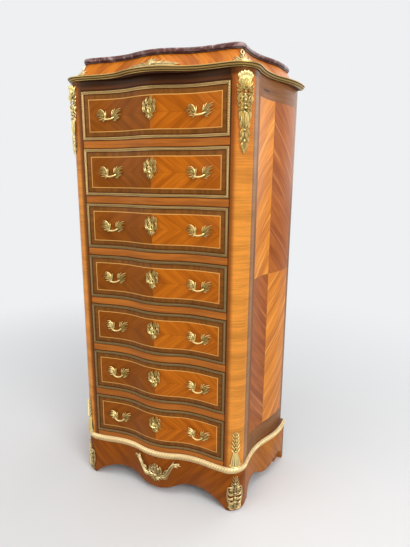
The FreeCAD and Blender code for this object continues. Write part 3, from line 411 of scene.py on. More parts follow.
# castings ---------------------------------------------------------------------------------------
SECTIONS = {
    # corners across and out of the ground, for a half width of one
    "ridge": [(-1, 0), (-0.82, 0.34), (-0.4, 0.42), (0, 1), (0.4, 0.42), (0.82, 0.34), (1, 0),
              (0, -0.15)],
    "reed": [(-1, 0), (-0.86, 0.5), (-0.5, 0.86), (0, 1), (0.5, 0.86), (0.86, 0.5), (1, 0),
             (0, -0.15)],
    "leaf": [(-1, 0.3), (-0.72, 0.62), (-0.3, 0.30), (0, 0.80), (0.3, 0.30), (0.72, 0.62),
             (1, 0.3), (0.5, 0.0), (0, -0.1), (-0.5, 0.0)],
    "round": [(math.cos(k * math.pi / 5), math.sin(k * math.pi / 5)) for k in range(10)],
}


def curve_object(name, kind, corners, dimensions):
    """A curve object of one spline through (x, y, z) corners in millimetres."""
    data = bpy.data.curves.new(name, "CURVE")
    data.dimensions = dimensions
    spline = data.splines.new(kind)
    spline.points.add(len(corners) - 1)
    for point, corner in zip(spline.points, corners):
        point.co = (*[value * MM for value in corner], 1)
    thing = bpy.data.objects.new(name, data)
    bpy.context.scene.collection.objects.link(thing)
    return thing, data, spline


def strap(points, widths, rise, section, steps=5):
    """A tapering limb of a casting: (x, z, out) points in mm, drawn flat, with half widths."""
    outline = [(across, out * rise, 0) for across, out in SECTIONS[section]]
    edge, edge_data, rim = curve_object("section", "POLY", outline, "2D")
    rim.use_cyclic_u = True
    piece, data, spline = curve_object("strap", "NURBS", points, "3D")
    data.twist_mode = "Z_UP"
    data.bevel_mode = "OBJECT"
    data.bevel_object = edge
    data.use_fill_caps = True
    data.resolution_u = steps
    for corner, width in zip(spline.points, widths):
        corner.radius = width
    spline.order_u = min(4, len(points))
    spline.use_endpoint_u = True
    hold(piece)
    bpy.ops.object.convert(target="MESH")
    piece = bpy.context.active_object
    bpy.data.curves.remove(edge_data)
    bpy.ops.transform.rotate(value=-math.pi / 2, orient_axis="X", center_override=(0, 0, 0))
    settle(piece)
    return piece


def limb(points, width, lift, section="leaf", rise=1.0, ground=1.0):
    """A leaf or scroll of a casting that swells in its middle and arches off the ground."""
    last = len(points) - 1
    route, widths = [], []
    for number, (x, z) in enumerate(points):
        share = number / last
        route.append((x, z, ground + lift * math.sin(math.pi * (0.12 + 0.76 * share))))
        widths.append(width * (0.30 + 0.78 * math.sin(math.pi * (0.2 + 0.72 * share))))
    widths[-1] = width * 0.22
    return strap(route, widths, rise, section, 4)


def limbs(rows, lift, section="leaf", rise=1.0, ground=1.0):
    """Several limbs, each given as its half width and its points."""
    return [limb(points, width, lift, section, rise, ground) for width, *points in rows]


def both_hands(rows):
    """Rows of limbs with their mirror images."""
    return rows + [[width, *[(-x, z) for x, z in points]] for width, *points in rows]


def fan_out(root, angles, lengths, width, lift):
    """Lobes that spread from a root; angles in degrees from upwards, clockwise."""
    lobes = []
    for angle, length in zip(angles, lengths):
        way = math.radians(angle)
        points = [(root[0] + math.sin(way) * length * share,
                   root[1] + math.cos(way) * length * share) for share in (0.0, 0.35, 0.7, 1.0)]
        lobes.append(limb(points, width, lift))
    return lobes


def scrolls(x, z, radius, start, turns, width, out):
    """A pair of scrolls that wind into their centres; start in degrees, turns with sign."""
    count = max(6, int(abs(turns) * 10))
    pair = []
    for hand in (-1, 1):
        points, widths = [], []
        for step in range(count + 1):
            share = step / count
            angle = math.radians(start + 360 * hand * turns * share)
            away = radius * (1 - share) ** 0.8 + 0.12 * radius
            points.append((hand * x + away * math.cos(angle), z + away * math.sin(angle),
                           out * (0.5 + share)))
            widths.append(width * (1 - 0.5 * share))
        pair.append(strap(points, widths, 1.2, "ridge", 3))
    return pair


def bud(centre, radius, rise, out):
    """A small rounded boss."""
    x, z = centre
    ends, body = 0.15 * radius, radius
    levels = (z - radius, z - radius * 0.6, z + radius * 0.6, z + radius)
    return strap([(x, level, out) for level in levels], (ends, body, body, ends), rise, "reed")


def buds(rows, rise=1.2):
    """Bosses down the middle of a casting: (level, radius, out) rows."""
    return [bud((0, level), radius, rise, out) for level, radius, out in rows]


def loop(z, across, up, out, width, rise, section):
    """An oval ring about the middle of a casting."""
    turns = [math.radians(step * 36) for step in range(11)]
    return strap([(across * math.sin(turn), z + up * math.cos(turn), out) for turn in turns],
                 [width] * len(turns), rise, section)


def ground_plate(levels, rise=0.16):
    """The solid ground of a casting, from (level, half width) pairs."""
    return strap([(0, level, 0) for level, _ in levels], [width for _, width in levels], rise,
                 "reed", 6)


def cast(name, parts):
    """Join the limbs of a casting."""
    piece = joined(name, parts)
    face_outwards(piece, 0.000005)
    smooth(piece, 50)
    return piece


def wrap(piece, line, mark, level):
    """Put a casting on its place along a plan line and bend it round."""
    shift(piece, mark, 0, level)
    return bend(piece, line)


# ------------------------------------------------------------------------------------------------
# Finishes
# ------------------------------------------------------------------------------------------------
class Amount:
    """A number, colour or shader that varies over a surface, with arithmetic."""

    def __init__(self, nodes, socket):
        self.nodes = nodes
        self.socket = socket


def arithmetic(operation, swapped=False):
    """A method of Amount that adds one Math node; swapped where the amount comes second."""
    def method(amount, *others):
        terms = (*others, amount) if swapped else (amount, *others)
        return amount.nodes.calculate(operation, *terms)
    return method


for sign, operation, swapped in (
        ("add", "ADD", False), ("radd", "ADD", False), ("sub", "SUBTRACT", False),
        ("rsub", "SUBTRACT", True), ("mul", "MULTIPLY", False), ("rmul", "MULTIPLY", False),
        ("truediv", "DIVIDE", False), ("abs", "ABSOLUTE", False), ("gt", "GREATER_THAN", False),
        ("lt", "LESS_THAN", False)):
    setattr(Amount, f"__{sign}__", arithmetic(operation, swapped))


class Nodes:
    """A node tree under construction."""

    def __init__(self, tree):
        self.tree = tree

    def first(self, name, **constants):
        """A node the tree starts with, its inputs set; returns its first output."""
        node = self.tree.nodes[name]
        for key, value in constants.items():
            node.inputs[key.replace("_", " ")].default_value = value
        return Amount(self, node.outputs[0])

    def node(self, kind, settings=None, inputs=None, output=0):
        """Add any node: its settings first, then the values or links of its sockets."""
        node = self.tree.nodes.new("ShaderNode" + kind)
        for key, value in (settings or {}).items():
            setattr(node, key, value)
        for key, value in (inputs or {}).items():
            self.feed(node.inputs[key], value)
        return Amount(self, node.outputs[output])

    def feed(self, socket, value):
        """Link an amount to a socket, or set the socket to a constant."""
        if isinstance(value, Amount):
            self.tree.links.new(value.socket, socket)
        elif isinstance(value, (tuple, list)) and len(value) == 3 and socket.type == "RGBA":
            socket.default_value = (*value, 1)
        else:
            socket.default_value = value

    def calculate(self, operation, *values, clamp=False):
        """One Math node."""
        return self.node("Math", {"operation": operation, "use_clamp": clamp},
                         dict(enumerate(values)))

    def clamp(self, value):
        return self.calculate("ADD", value, 0, clamp=True)

    def least(self, first, second):
        return self.calculate("MINIMUM", first, second)

    def wrap(self, value, low, high):
        return self.calculate("WRAP", value, high, low)

    def floor(self, value):
        return self.calculate("FLOOR", value)

    def soft(self, value, low, high):
        """From 0 at low to 1 at high, smoothly."""
        return self.node("MapRange", {"interpolation_type": "SMOOTHSTEP"},
                         {0: value, 1: low, 2: high})

    def vector(self, x, y, z):
        return self.node("CombineXYZ", inputs={0: x, 1: y, 2: z})

    def noise(self, vector, scale=1.0, detail=3.0, roughness=0.5, distortion=0.0):
        return self.node("TexNoise", inputs={
            "Vector": vector, "Scale": scale, "Detail": detail, "Roughness": roughness,
            "Distortion": distortion})

    def blend(self, factor, first, second):
        """One colour where the factor is 0, the other where it is 1."""
        return self.node("Mix", {"data_type": "RGBA"}, {0: factor, 6: first, 7: second},
                         output=2)

    def layers(self, colour, *coats):
        """Lay coats over a colour, each given as its share and its colour."""
        for share, coat in coats:
            colour = self.blend(share, colour, coat)
        return colour

    def line(self, value, outer, border_and_shade):
        """A soft line where a value passes through zero."""
        return self.soft(abs(value), outer, border_and_shade)

    def choose(self, factor, first, second):
        """One amount where the factor is 0, the other where it is 1."""
        return first + (second - first) * factor

    def looked_at(self):
        """1 for the rays that show the background: straight, mirrored or through glass."""
        seen = self.node("LightPath", output="Is Camera Ray")
        for ray in ("Is Glossy Ray", "Is Transmission Ray"):
            seen = self.calculate("MAXIMUM", seen, self.node("LightPath", output=ray))
        return seen

    def show(self, output, share, first, second):
        """Show one shader where the share is 0, the other where it is 1."""
        mix = self.node("MixShader", inputs={0: share, 1: first, 2: second})
        self.feed(self.tree.nodes[output].inputs["Surface"], mix)


class Finish(Nodes):
    """A material under construction, its places in millimetres."""

    def __init__(self, name, **constants):
        self.material = bpy.data.materials.new(name)
        self.material.use_nodes = True
        super().__init__(self.material.node_tree)
        self.shader = self.first("Principled BSDF", **constants)
        place = self.node("TexCoord", output="Object")
        self.place = self.node("VectorMath", {"operation": "SCALE"}, {0: place, "Scale": 1000})
        parts = self.node("SeparateXYZ", inputs={0: self.place})
        self.x, self.y, self.z = [Amount(self, parts.socket.node.outputs[k]) for k in range(3)]

    def hollows(self, distance):
        """From 1 in the open to 0 deep in a recess, within a distance in metres."""
        return self.node("AmbientOcclusion", {"samples": 8}, {"Distance": distance},
                         output="AO")

    def done(self, colour, roughness, height=None, bump=0.12, distance=0.0003, metal=0.0):
        """Feed the shader; height is the relief, bump its strength."""
        inputs = {"Base Color": colour, "Roughness": roughness, "Metallic": metal}
        if height is not None:
            inputs["Normal"] = self.node("Bump", inputs={"Strength": bump, "Distance": distance,
                                                         "Height": height})
        for key, value in inputs.items():
            self.feed(self.shader.socket.node.inputs[key], value)
        return self.material

    def polished(self, colour, pores, roughness=0.34):
        """A waxed veneer with open pores."""
        return self.done(colour, roughness + pores * 0.12, pores)


def shade(colour, factor):
    return tuple(max(0.0, min(1.0, channel * factor)) for channel in colour)


def tint(red, green, blue):
    return tuple(channel_light(value / 255) for value in (red, green, blue))


def figure_of(finish, along, across, seed, scale=1.0):
    """Figure of a veneer: (stripes, pores), both about 0 to 1."""
    def streaks(length, width, start, *kind):
        return finish.noise(finish.vector(along * length, across * width, start), 1.0, *kind)
    broad = streaks(0.004, 0.055 * scale, seed, 2.0, 0.5, 0.3)
    fine = streaks(0.012, 0.26 * scale, seed + 7.3, 3.0, 0.55, 0.2)
    pores = streaks(0.05, 1.5, seed + 3.1, 2.0, 0.6)
    return finish.soft(broad * 0.55 + fine * 0.45, 0.34, 0.66), pores


def slant(first, second, degrees):
    """Two directions turned together: (along, across) a grain that leans by an angle."""
    turn = math.radians(degrees)
    return (first * math.sin(turn) + second * math.cos(turn),
            first * math.cos(turn) - second * math.sin(turn))


def wood(finish, figure, light, dark, deepest, deep=0.25):
    """Colour of a veneer from its figure."""
    stripes, pores = figure
    colour = finish.blend(stripes, light, dark)
    lines = finish.soft(pores, 0.52, 0.74) * deep
    return finish.blend(lines, colour, shade(deepest, 0.45))


def crossband(finish, side_gap, end_gap, level, run, seed, scale, *colours):
    """Border whose grain stands square to the nearest edge of its panel."""
    on_side = side_gap < end_gap
    figure = figure_of(finish, finish.choose(on_side, level, run),
                       finish.choose(on_side, run, level), seed, scale)
    return wood(finish, figure, *colours)


POLISH = {"Coat_Weight": 0.04, "Coat_Roughness": 0.1, "Specular_IOR_Level": 0.15,
          "Specular_Tint": (1.0, 0.55, 0.22, 1.0)}


def palette():
    """The colour settings as plain tuples."""
    colours = bpy.context.scene.semainier_colours
    return SimpleNamespace(**{key: tuple(getattr(colours, key))
                              for key in SemainierColours.__annotations__})


def drawer_veneer():
    """Diamond-matched tulipwood in a crossband, the same pattern on every front."""
    finish, colours = Finish("drawer_marquetry", **POLISH), palette()
    x, z = finish.x, finish.z
    low, high = span("drawer_4_front")
    pitch, middle = (drawer_lift(3) - drawer_lift(4)) / MM, (low.z + high.z) / 2
    number = finish.floor((z - (middle - pitch / 2)) / pitch)
    up = finish.wrap(z - middle, -pitch / 2, pitch / 2)
    wide, tall, right, top = abs(x), abs(up), x > 0, up > 0
    side_gap, top_gap = high.x - wide, (high.z - low.z) / 2 - tall
    # in from the rim of the front: crossband, then the string
    edge = finish.least(side_gap, top_gap)
    band_width, string_place = 22.0, 23.2
    # quartered centre: lines of equal distance form a diamond
    figure = figure_of(finish, wide * 0.78 - tall * 0.62, wide * 0.62 + tall * 0.78,
                       number * 5.7 + right * 0.35 + top * 0.2)
    # painted shade: the left halves of each front get darker, shaded copies of the tulipwood
    # colours
    light = finish.blend(right, tint(142, 76, 16), colours.tulipwood)
    dark = finish.blend(right, tint(118, 61, 11), colours.tulipwood_dark)
    centre = finish.layers(
        wood(finish, figure, light, dark, colours.tulipwood_dark),
        # the leaves of the veneer catch the light a little differently
        (top * 0.16 * finish.choose(right, 1.0, 0.7), shade(colours.tulipwood_dark, 0.6)),
        # their joints
        (finish.soft(finish.least(wide, tall), 0.9, 0.2) * 0.4,
         shade(colours.tulipwood_dark, 0.35)))
    band = crossband(finish, side_gap, top_gap, up, x, number * 3.1 + 40, 1.5,
                     shade(colours.crossband, 1.3), shade(colours.crossband, 0.8),
                     colours.crossband)
    colour = finish.layers(
        finish.blend(finish.soft(edge, band_width - 0.7, band_width), band, centre),
        (finish.line(edge - string_place, 1.5, 0.8) * 0.85, colours.stringing),
        # painted shadow along the inside of the brass frame
        (finish.soft(edge, 12.5, 8.0) * 0.7, shade(colours.crossband, 0.22)))
    return finish.polished(colour, figure[1])


def side_veneer():
    """Herringbone of two strips that change places half way up, in a crossband."""
    finish = Finish("side_marquetry", **POLISH)
    low, high = span("side_panel_right")
    y, z = finish.y, finish.z
    # the upright seam stands nearer to the front, the level joint above the middle
    seam = low.y + 0.435 * (high.y - low.y)
    joint = (low.z + high.z) / 2 + 10
    rear, upper = y > seam, z > joint
    # 1 where the grain rises towards the back
    rising = finish.choose(upper, rear, 1 - rear)
    swing = finish.choose(rising, 1.0, -1.0)
    lean = math.sqrt(0.5)
    across = z * lean + y * swing * lean
    along = y * lean - z * swing * lean
    figure = figure_of(finish, along, across, rising * 4.0 + upper * 2.5 + 9.0, 0.65)
    light = finish.blend(rising, tint(176, 98, 38), tint(228, 142, 46))
    dark = finish.blend(rising, tint(138, 68, 24), tint(188, 106, 34))
    streak = finish.noise(finish.vector(along * 0.003, across * 0.085, 31.0), 1.0, 1.0, 0.5)
    joints = finish.clamp(finish.line(y - seam, 1.2, 0.4) + finish.line(z - joint, 1.2, 0.4))
    panel = finish.layers(
        wood(finish, figure, light, dark, tint(150, 84, 44), 0.2),
        (finish.soft(streak, 0.60, 0.68) * 0.45,
         finish.blend(rising, tint(210, 138, 86), tint(250, 176, 86))),
        (joints * 0.35, tint(90, 50, 28)))
    # crossband: broad at top and foot, narrow at the stiles
    front_width, rear_width, top_width, foot_width = 17, 26, 56, 62
    side_gap = finish.least(y - low.y - front_width, high.y - rear_width - y)
    end_gap = finish.least(high.z - top_width - z, z - low.z - foot_width)
    edge = finish.least(side_gap, end_gap)
    band = crossband(finish, side_gap, end_gap, y, z, 21.0, 1.2, tint(144, 92, 48),
                     tint(112, 66, 32), tint(100, 58, 28))
    # old knock under the cornice
    spot = finish.node("VectorMath", {"operation": "LENGTH"}, {
        0: finish.vector((y - low.y - 64) * 0.040, (z - high.z + 35) * 0.25, 0.0)},
        output="Value")
    colour = finish.layers(
        finish.blend(finish.soft(edge, -0.4, 0.4), band, panel),
        (finish.line(edge, 1.1, 0.5) * 0.5, tint(70, 38, 22)),
        (finish.soft(spot, 1.2, 0.6) * 0.85, tint(46, 26, 18)))
    return finish.polished(colour, figure[1], 0.36)


def painted_cornice_shadow(finish, start, full):
    """Share of painted shadow under the cornice, between two depths in mm below its foot."""
    foot = span("cornice_moulding")[0].z
    return finish.soft(finish.z, foot - start, foot - full)


def post_veneer():
    """Rippled golden veneer, laid across the posts, between darker borders deepened by painted
    shade.
    """
    finish, colours = Finish("post_marquetry", **POLISH), palette()
    high = span("corner_posts")[1]
    x, y, z = finish.x, finish.y, finish.z

    def ripples(wide, tall, *kind):
        return finish.noise(finish.vector(x * wide, y * wide, z * tall), 1.0, *kind)
    pores = ripples(0.05, 1.3, 2.0, 0.6)
    stripes = finish.soft(ripples(0.006, 0.040, 2.0) * 0.5 + ripples(0.010, 0.30, 3.0) * 0.5,
                          0.36, 0.66)
    # the border of each post beside the drawers, darker veneer deepened by painted shade, and
    # painted shadow in the gap at the lip of their openings
    border_and_shade = finish.soft(abs(x), 256.0, 241.0)
    opening = span("drawer_1_front")[1].x
    gap_shadow = finish.soft(abs(x), opening + 5.0, opening + 3.2) * (z < high.z - 20)
    body = finish.layers(
        wood(finish, (stripes, pores), colours.post, shade(colours.post, 0.68),
             shade(colours.post, 0.5), 0.35),
        (finish.soft(z, high.z - 330, high.z - 60) * 0.55, tint(176, 88, 40)),
        (border_and_shade * 0.85, tint(116, 54, 18)),
        # painted shade: the left post's border darker still
        (border_and_shade * (x < 0) * 0.45, tint(64, 30, 12)),
        # painted shadow in the gap round the drawer openings
        (gap_shadow * 0.75, tint(48, 24, 12)))
    # the fillet where the post meets the side
    fillet = wood(finish, (stripes, pores), tint(158, 112, 68), tint(132, 90, 52),
                  tint(100, 66, 38))
    colour = finish.layers(
        finish.blend(finish.soft(y, high.y - 33, high.y - 31), body, fillet),
        # painted shade of a small groove where the post meets the fillet
        (finish.line(y - (high.y - 32), 1.4, 0.5) * 0.6, tint(90, 48, 26)),
        # painted shadow under the cornice
        (painted_cornice_shadow(finish, 22, 12) * 0.75, tint(36, 18, 10)))
    return finish.polished(colour, pores, 0.32)


def rail_veneer():
    """Cross-grained rails between the drawers and the dark frieze over them."""
    finish, colours = Finish("rail_marquetry", **POLISH), palette()
    low, high = span("drawer_1_front")
    figure = figure_of(finish, finish.x, finish.z, 3.0, 0.8)
    rail = wood(finish, figure, tint(180, 106, 40), tint(146, 80, 30), tint(120, 64, 26))
    # the frieze: its own dark veneer, darkened further by painted shade under the cornice
    frieze = wood(finish, figure, shade(colours.frieze, 1.25), shade(colours.frieze, 0.7),
                  colours.frieze)
    # painted shadow along the edges of the openings
    pitch = high.z - span("drawer_2_front")[1].z
    level = finish.wrap(finish.z - low.z, 0, pitch)
    gap = finish.least(abs(level - (high.z - low.z)), pitch - level)
    rail = finish.blend(finish.soft(gap, 4.6, 2.6) * 0.75, rail, tint(52, 26, 12))
    # painted shadow on the frieze along the top drawer's opening
    gap_shadow = finish.soft(finish.z, high.z + 6.5, high.z + 4.0) * 0.75
    frieze = finish.blend(gap_shadow, frieze, tint(28, 13, 8))
    # painted shadow on the frieze under the cornice
    colour = finish.layers(finish.blend(finish.z > high.z + 2, rail, frieze),
                           (painted_cornice_shadow(finish, 24, 13) * 0.85, tint(26, 12, 8)))
    return finish.polished(colour, figure[1])


def cove_veneer():
    """Veneer whose grain runs aslant from the middle of the chest, the same on both hands."""
    finish = Finish("cove_marquetry", **POLISH)
    along, across = slant(finish.z, abs(finish.x) + abs(finish.y) * 0.6, -38)
    figure = figure_of(finish, along, across, 6.0, 0.8)
    dark = tint(158, 80, 20)
    colour = wood(finish, figure, tint(214, 126, 34), dark, dark)
    joint = finish.line(finish.x, 0.9, 0.3) * 0.3
    return finish.polished(finish.blend(joint, colour, shade(dark, 0.4)), figure[1])


def apron_veneer():
    """Slanted veneer: dark in front, lighter on the sides of the plinth, plain behind."""
    finish = Finish("apron_marquetry", **POLISH)
    # on the sides the grain leans along the depth instead
    side = finish.soft(finish.y, -110.0, -84.0)
    run = finish.choose(side, abs(finish.x), finish.y * -1.2)
    along, across = slant(finish.z, run, 50)
    figure = figure_of(finish, along, across, 2.0, 0.9)
    light = finish.blend(side, tint(146, 76, 14), tint(184, 112, 44))
    dark = finish.blend(side, tint(114, 55, 11), tint(148, 84, 32))
    colour = wood(finish, figure, light, dark, tint(96, 48, 16))
    board = finish.blend(figure[0], tint(112, 78, 48), tint(84, 56, 34))
    colour = finish.blend(finish.soft(finish.y, 176, 180), colour, board)
    return finish.polished(colour, figure[1], 0.36)


def plain_timber(name, light, dark, direction="x"):
    """Plain sawn timber with its grain along one axis."""
    finish = Finish(name)
    x, y, z = finish.x, finish.y, finish.z
    along, across, depth = {"x": (x, z, y), "z": (z, x, y), "y": (y, z, x)}[direction]

    def streaks(length, width, *kind):
        return finish.noise(finish.vector(along * length, across * width, depth * width), 1.0,
                            *kind)
    pores = streaks(0.05, 1.4, 2.0, 0.6)
    stripes = finish.soft(streaks(0.004, 0.035, 2.0, 0.5, 0.3) * 0.6
                          + streaks(0.012, 0.18, 3.0, 0.55) * 0.4, 0.36, 0.64)
    colour = wood(finish, (stripes, pores), light, dark, dark)
    return finish.done(colour, 0.55 + pores * 0.12, pores, 0.15, 0.0004)


def metal(name, bright, patina, rough=0.3, depth=0.004, rub=0.5, rest=0.45, dull=0.0):
    """Cast or drawn metal: patina in its recesses, bright ridges, and painted shade that makes it
    duller low down on the chest.
    """
    finish = Finish(name)
    ridge = finish.soft(finish.node("NewGeometry", output="Pointiness"), 0.44, 0.58)
    open_air = finish.soft(finish.hollows(depth), 0.35, 0.92)
    patches = finish.noise(finish.place, 0.06, 3.0, 0.55)
    grit = finish.noise(finish.place, 0.8, 2.0, 0.6)
    tone = finish.clamp(open_air * (rest + ridge * rub + patches * 0.35))
    # painted shade: darker low down on the chest
    tone = tone * (1 - finish.soft(finish.z, 1060.0, 760.0) * dull)
    colour = finish.blend(tone, patina, bright)
    colour = finish.blend(grit * 0.18, colour, patina)
    roughness = rough + (1 - tone) * 0.25 + grit * 0.06
    return finish.done(colour, roughness, grit, 0.25, 0.0003, 0.8 + tone * 0.15)


def marble_finish():
    """Dark red-brown marble with pale blotches and a few veins."""
    finish = Finish("red_marble", Coat_Weight=0.04, Coat_Roughness=0.15,
                    Specular_IOR_Level=0.28)
    marble = palette().marble
    ground = finish.noise(finish.place, 0.014, 3.0, 0.6)
    swirl = finish.node("TexNoise", inputs={"Vector": finish.place, "Scale": 0.02, "Detail": 3.0},
                        output=1)
    moved = finish.node("VectorMath", {"operation": "SCALE"}, {0: swirl, "Scale": 60.0})
    shifted = finish.node("VectorMath", {"operation": "ADD"}, {0: finish.place, 1: moved})
    cells = finish.node("TexVoronoi", {"feature": "DISTANCE_TO_EDGE"},
                        {"Vector": shifted, "Scale": 0.018})
    crowd = finish.soft(finish.noise(finish.place, 0.007, 2.0, 0.5), 0.36, 0.62)
    blotch = finish.soft(finish.noise(shifted, 0.045, 5.0, 0.66) + crowd * 0.07, 0.54, 0.70)
    fleck = finish.soft(finish.noise(finish.place, 0.16, 3.0, 0.6), 0.58, 0.70)
    foot = span("marble_top")[0].z
    colour = finish.layers(
        finish.blend(ground, shade(marble, 0.6), shade(marble, 1.5)),
        (blotch * 0.8, tint(188, 160, 158)),
        (finish.soft(cells, 0.05, 0.0) * 0.15, tint(206, 186, 180)),
        (fleck * 0.45, tint(44, 20, 18)),
        # painted shade along the lower edge
        (finish.soft(finish.z, foot + 6.5, foot + 3.5) * 0.7, tint(38, 16, 14)))
    return finish.done(colour, 0.3)


MATERIALS = {}


def make_finish(name):
    """A new material for the name of a finish."""
    colours = palette()
    veneers = {"drawer": drawer_veneer, "post": post_veneer, "side": side_veneer,
               "rail": rail_veneer, "cove": cove_veneer, "apron": apron_veneer,
               "marble": marble_finish}
    timbers = {
        "board": ("stained_board", tint(120, 70, 36), tint(76, 42, 24)),
        "oak": ("oak_lining", colours.oak, shade(colours.oak, 0.7), "y"),
        "back": ("back_boards", tint(132, 98, 64), tint(92, 64, 42), "z"),
    }
    metals = {
        "aged": ("aged_brass_finish", colours.brass, tint(48, 32, 16), 0.34, 0.004, 1.0, 0.12,
                 0.45),
        "cornice": ("tarnished_brass_finish", tint(178, 146, 84), tint(48, 34, 18), 0.34, 0.008,
                    0.9, 0.1),
        "gilt": ("gilt_finish", colours.gilt, tint(78, 52, 18), 0.28, 0.007, 0.8, 0.35),
        "worn_gilt": ("worn_gilt_finish", tint(236, 212, 152), tint(74, 50, 24), 0.34, 0.006),
        "moulding": ("gilt_moulding_finish", tint(252, 226, 170), tint(136, 98, 48), 0.36,
                     0.003, 0.5),
        "steel": ("lock_steel_finish", tint(150, 148, 142), tint(70, 66, 60), 0.4),
    }
    if name in veneers:
        return veneers[name]()
    if name in timbers:
        return plain_timber(*timbers[name])
    return metal(*metals[name])


def finish_of(name):
    """The finished material for a name; made on first use."""
    if name not in MATERIALS:
        MATERIALS[name] = make_finish(name)
    return MATERIALS[name]


def paint(piece, finish):
    """Give every face of a piece, or of a CAD node, one finish."""
    material = finish_of(finish)
    if not piece.material_slots:
        piece.data.materials.append(material)
    for slot in piece.material_slots:
        slot.material = material


def set_piece(piece, body, slot, finish, *nodes):
    """Settle a finished piece, paint it, fix it to its body and hide the CAD nodes it stands for.
    """
    settle(piece)
    paint(piece, finish)
    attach(piece, body)
    if nodes:
        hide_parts(*nodes)


def drawer_lift(number):
    """Height of a drawer above the lowest one; drawer 1 is the top one."""
    return foot_of(f"drawer_{number}_front") - foot_of(f"drawer_{DRAWERS}_front")


def on_each_drawer(masters, slot, finish, node):
    """Copy pieces made for the lowest drawer to every drawer, and drop the originals."""
    for number in range(1, DRAWERS + 1):
        drawer = f"drawer_{number}"
        for name, master in masters.items():
            piece = copy_of(master, f"{drawer}_{name}", drawer_lift(number))
            set_piece(piece, drawer, slot, finish, f"{drawer}_{node}")
    for master in masters.values():
        bpy.data.objects.remove(master)


# ------------------------------------------------------------------------------------------------
# Operators
# ------------------------------------------------------------------------------------------------
class SEMAINIER_OT_carcass(bpy.types.Operator):
    """Posts, sides, rails, boards and back, each in its veneer or timber"""
    bl_idname = "semainier.carcass"
    bl_label = "Carcass"

    def execute(self, context):
        soft = context.scene.semainier_sizes.edge_wear
        for node, finish, wear in (("corner_posts", "post", 0),
                                   ("side_panel_right", "side", soft),
                                   ("side_panel_left", "side", soft),
                                   ("drawer_rails", "rail", soft)):
            piece = dress_copy(node, node + "_veneered", wear)
            set_piece(piece, "carcass", finish + "_veneer", finish, node)
        for node, finish in (("carcass_bottom", "board"), ("carcass_top", "board"),
                             ("back_panel", "back"), ("drawer_runners", "oak")):
            paint(frame["nodes"][node], finish)
        return {"FINISHED"}


class SEMAINIER_OT_drawer_fronts(bpy.types.Operator):
    """The seven serpentine fronts with their quartered veneer"""
    bl_idname = "semainier.drawer_fronts"
    bl_label = "Drawer fronts"

    def execute(self, context):
        for number in range(1, DRAWERS + 1):
            node = f"drawer_{number}_front"
            piece = dress_copy(node, f"drawer_{number}_veneered_front",
                               context.scene.semainier_sizes.front_wear)
            set_piece(piece, f"drawer_{number}", "drawer_veneer", "drawer", node)
        return {"FINISHED"}


class SEMAINIER_OT_drawer_boxes(bpy.types.Operator):
    """Linings, lock cases and bolts of the drawers"""
    bl_idname = "semainier.drawer_boxes"
    bl_label = "Drawer boxes and locks"

    def execute(self, context):
        for number in range(1, DRAWERS + 1):
            for part, finish in (("box", "oak"), ("lock", "steel"), ("bolt", "steel")):
                paint(frame["nodes"][f"drawer_{number}_{part}"], finish)
        return {"FINISHED"}


class SEMAINIER_OT_drawer_frames(bpy.types.Operator):
    """Rope-pattern brass frame round each drawer front"""
    bl_idname = "semainier.drawer_frames"
    bl_label = "Brass frames"

    def execute(self, context):
        sizes = context.scene.semainier_sizes
        line = case_line()
        low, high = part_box(f"drawer_{DRAWERS}_moulding")
        wide, tall = 2 * line.reach(high.x), high.z - low.z
        strips = [self.strip(sizes, length, other, turned)
                  for length, other, turned in ((wide, tall, 0), (tall, wide, 90),
                                                (wide, tall, 180), (tall, wide, 270))]
        master = joined("frame_master", strips)
        shift(master, z=(low.z + high.z) / 2)
        face_outwards(master)
        bend(master, line)
        smooth(master, 40)
        on_each_drawer({"brass_frame": master}, "aged_brass", "aged", "moulding")
        return {"FINISHED"}

    def strip(self, sizes, length, other, turned):
        """One side of the frame, its outer edge towards +z, with mitred ends."""
        width, rise = sizes.frame_width, sizes.frame_rise
        count = round((length + width) / sizes.rib_pitch)
        pitch = (length + width) / count
        # rows across the strip: a fillet, the rope, a fillet
        across = (0, 0.05, 0.16, 0.22, 0.36, 0.5, 0.64, 0.78, 0.84, 0.95, 1)
        crest = (0, 0.62, 0.62, 0.30, 0.80, 1.0, 0.80, 0.30, 0.62, 0.62, 0)
        nick = (0, 0.62, 0.62, 0.20, 0.30, 0.34, 0.30, 0.20, 0.62, 0.62, 0)
        swell = (0, 0.75, 1.0, 0.75)
        release()
        bpy.ops.mesh.primitive_grid_add(x_subdivisions=len(swell),
                                        y_subdivisions=len(across) - 1, size=1)
        piece = bpy.context.active_object
        columns = len(swell) + 1
        for index, vertex in enumerate(piece.data.vertices):
            column, row = index % columns, index // columns
            share = swell[column % len(swell)]
            height = nick[row] + (crest[row] - nick[row]) * share
            lean = 0.9 * pitch * min(max((across[row] - 0.2) / 0.6, 0), 1)
            vertex.co = (column * pitch / len(swell) + lean, -height * rise,
                         (across[row] - 1) * width)
        apply_modifier(piece, "ARRAY", count=count + 3, use_relative_offset=False,
                       use_constant_offset=True, constant_offset_displace=(pitch, 0, 0),
                       use_merge_vertices=True, merge_threshold=0.00002)
        shift(piece, x=-(length + width) / 2 - 2 * pitch)
        for side in (-1, 1):
            with editing(piece):
                bpy.ops.mesh.bisect(plane_co=(side * length / 2, 0, 0), plane_no=(side, 0, -1),
                                    clear_outer=True)
        shift(piece, z=other / 2)
        piece.data.transform(Matrix.Rotation(math.radians(turned), 4, "Y"))
        return piece


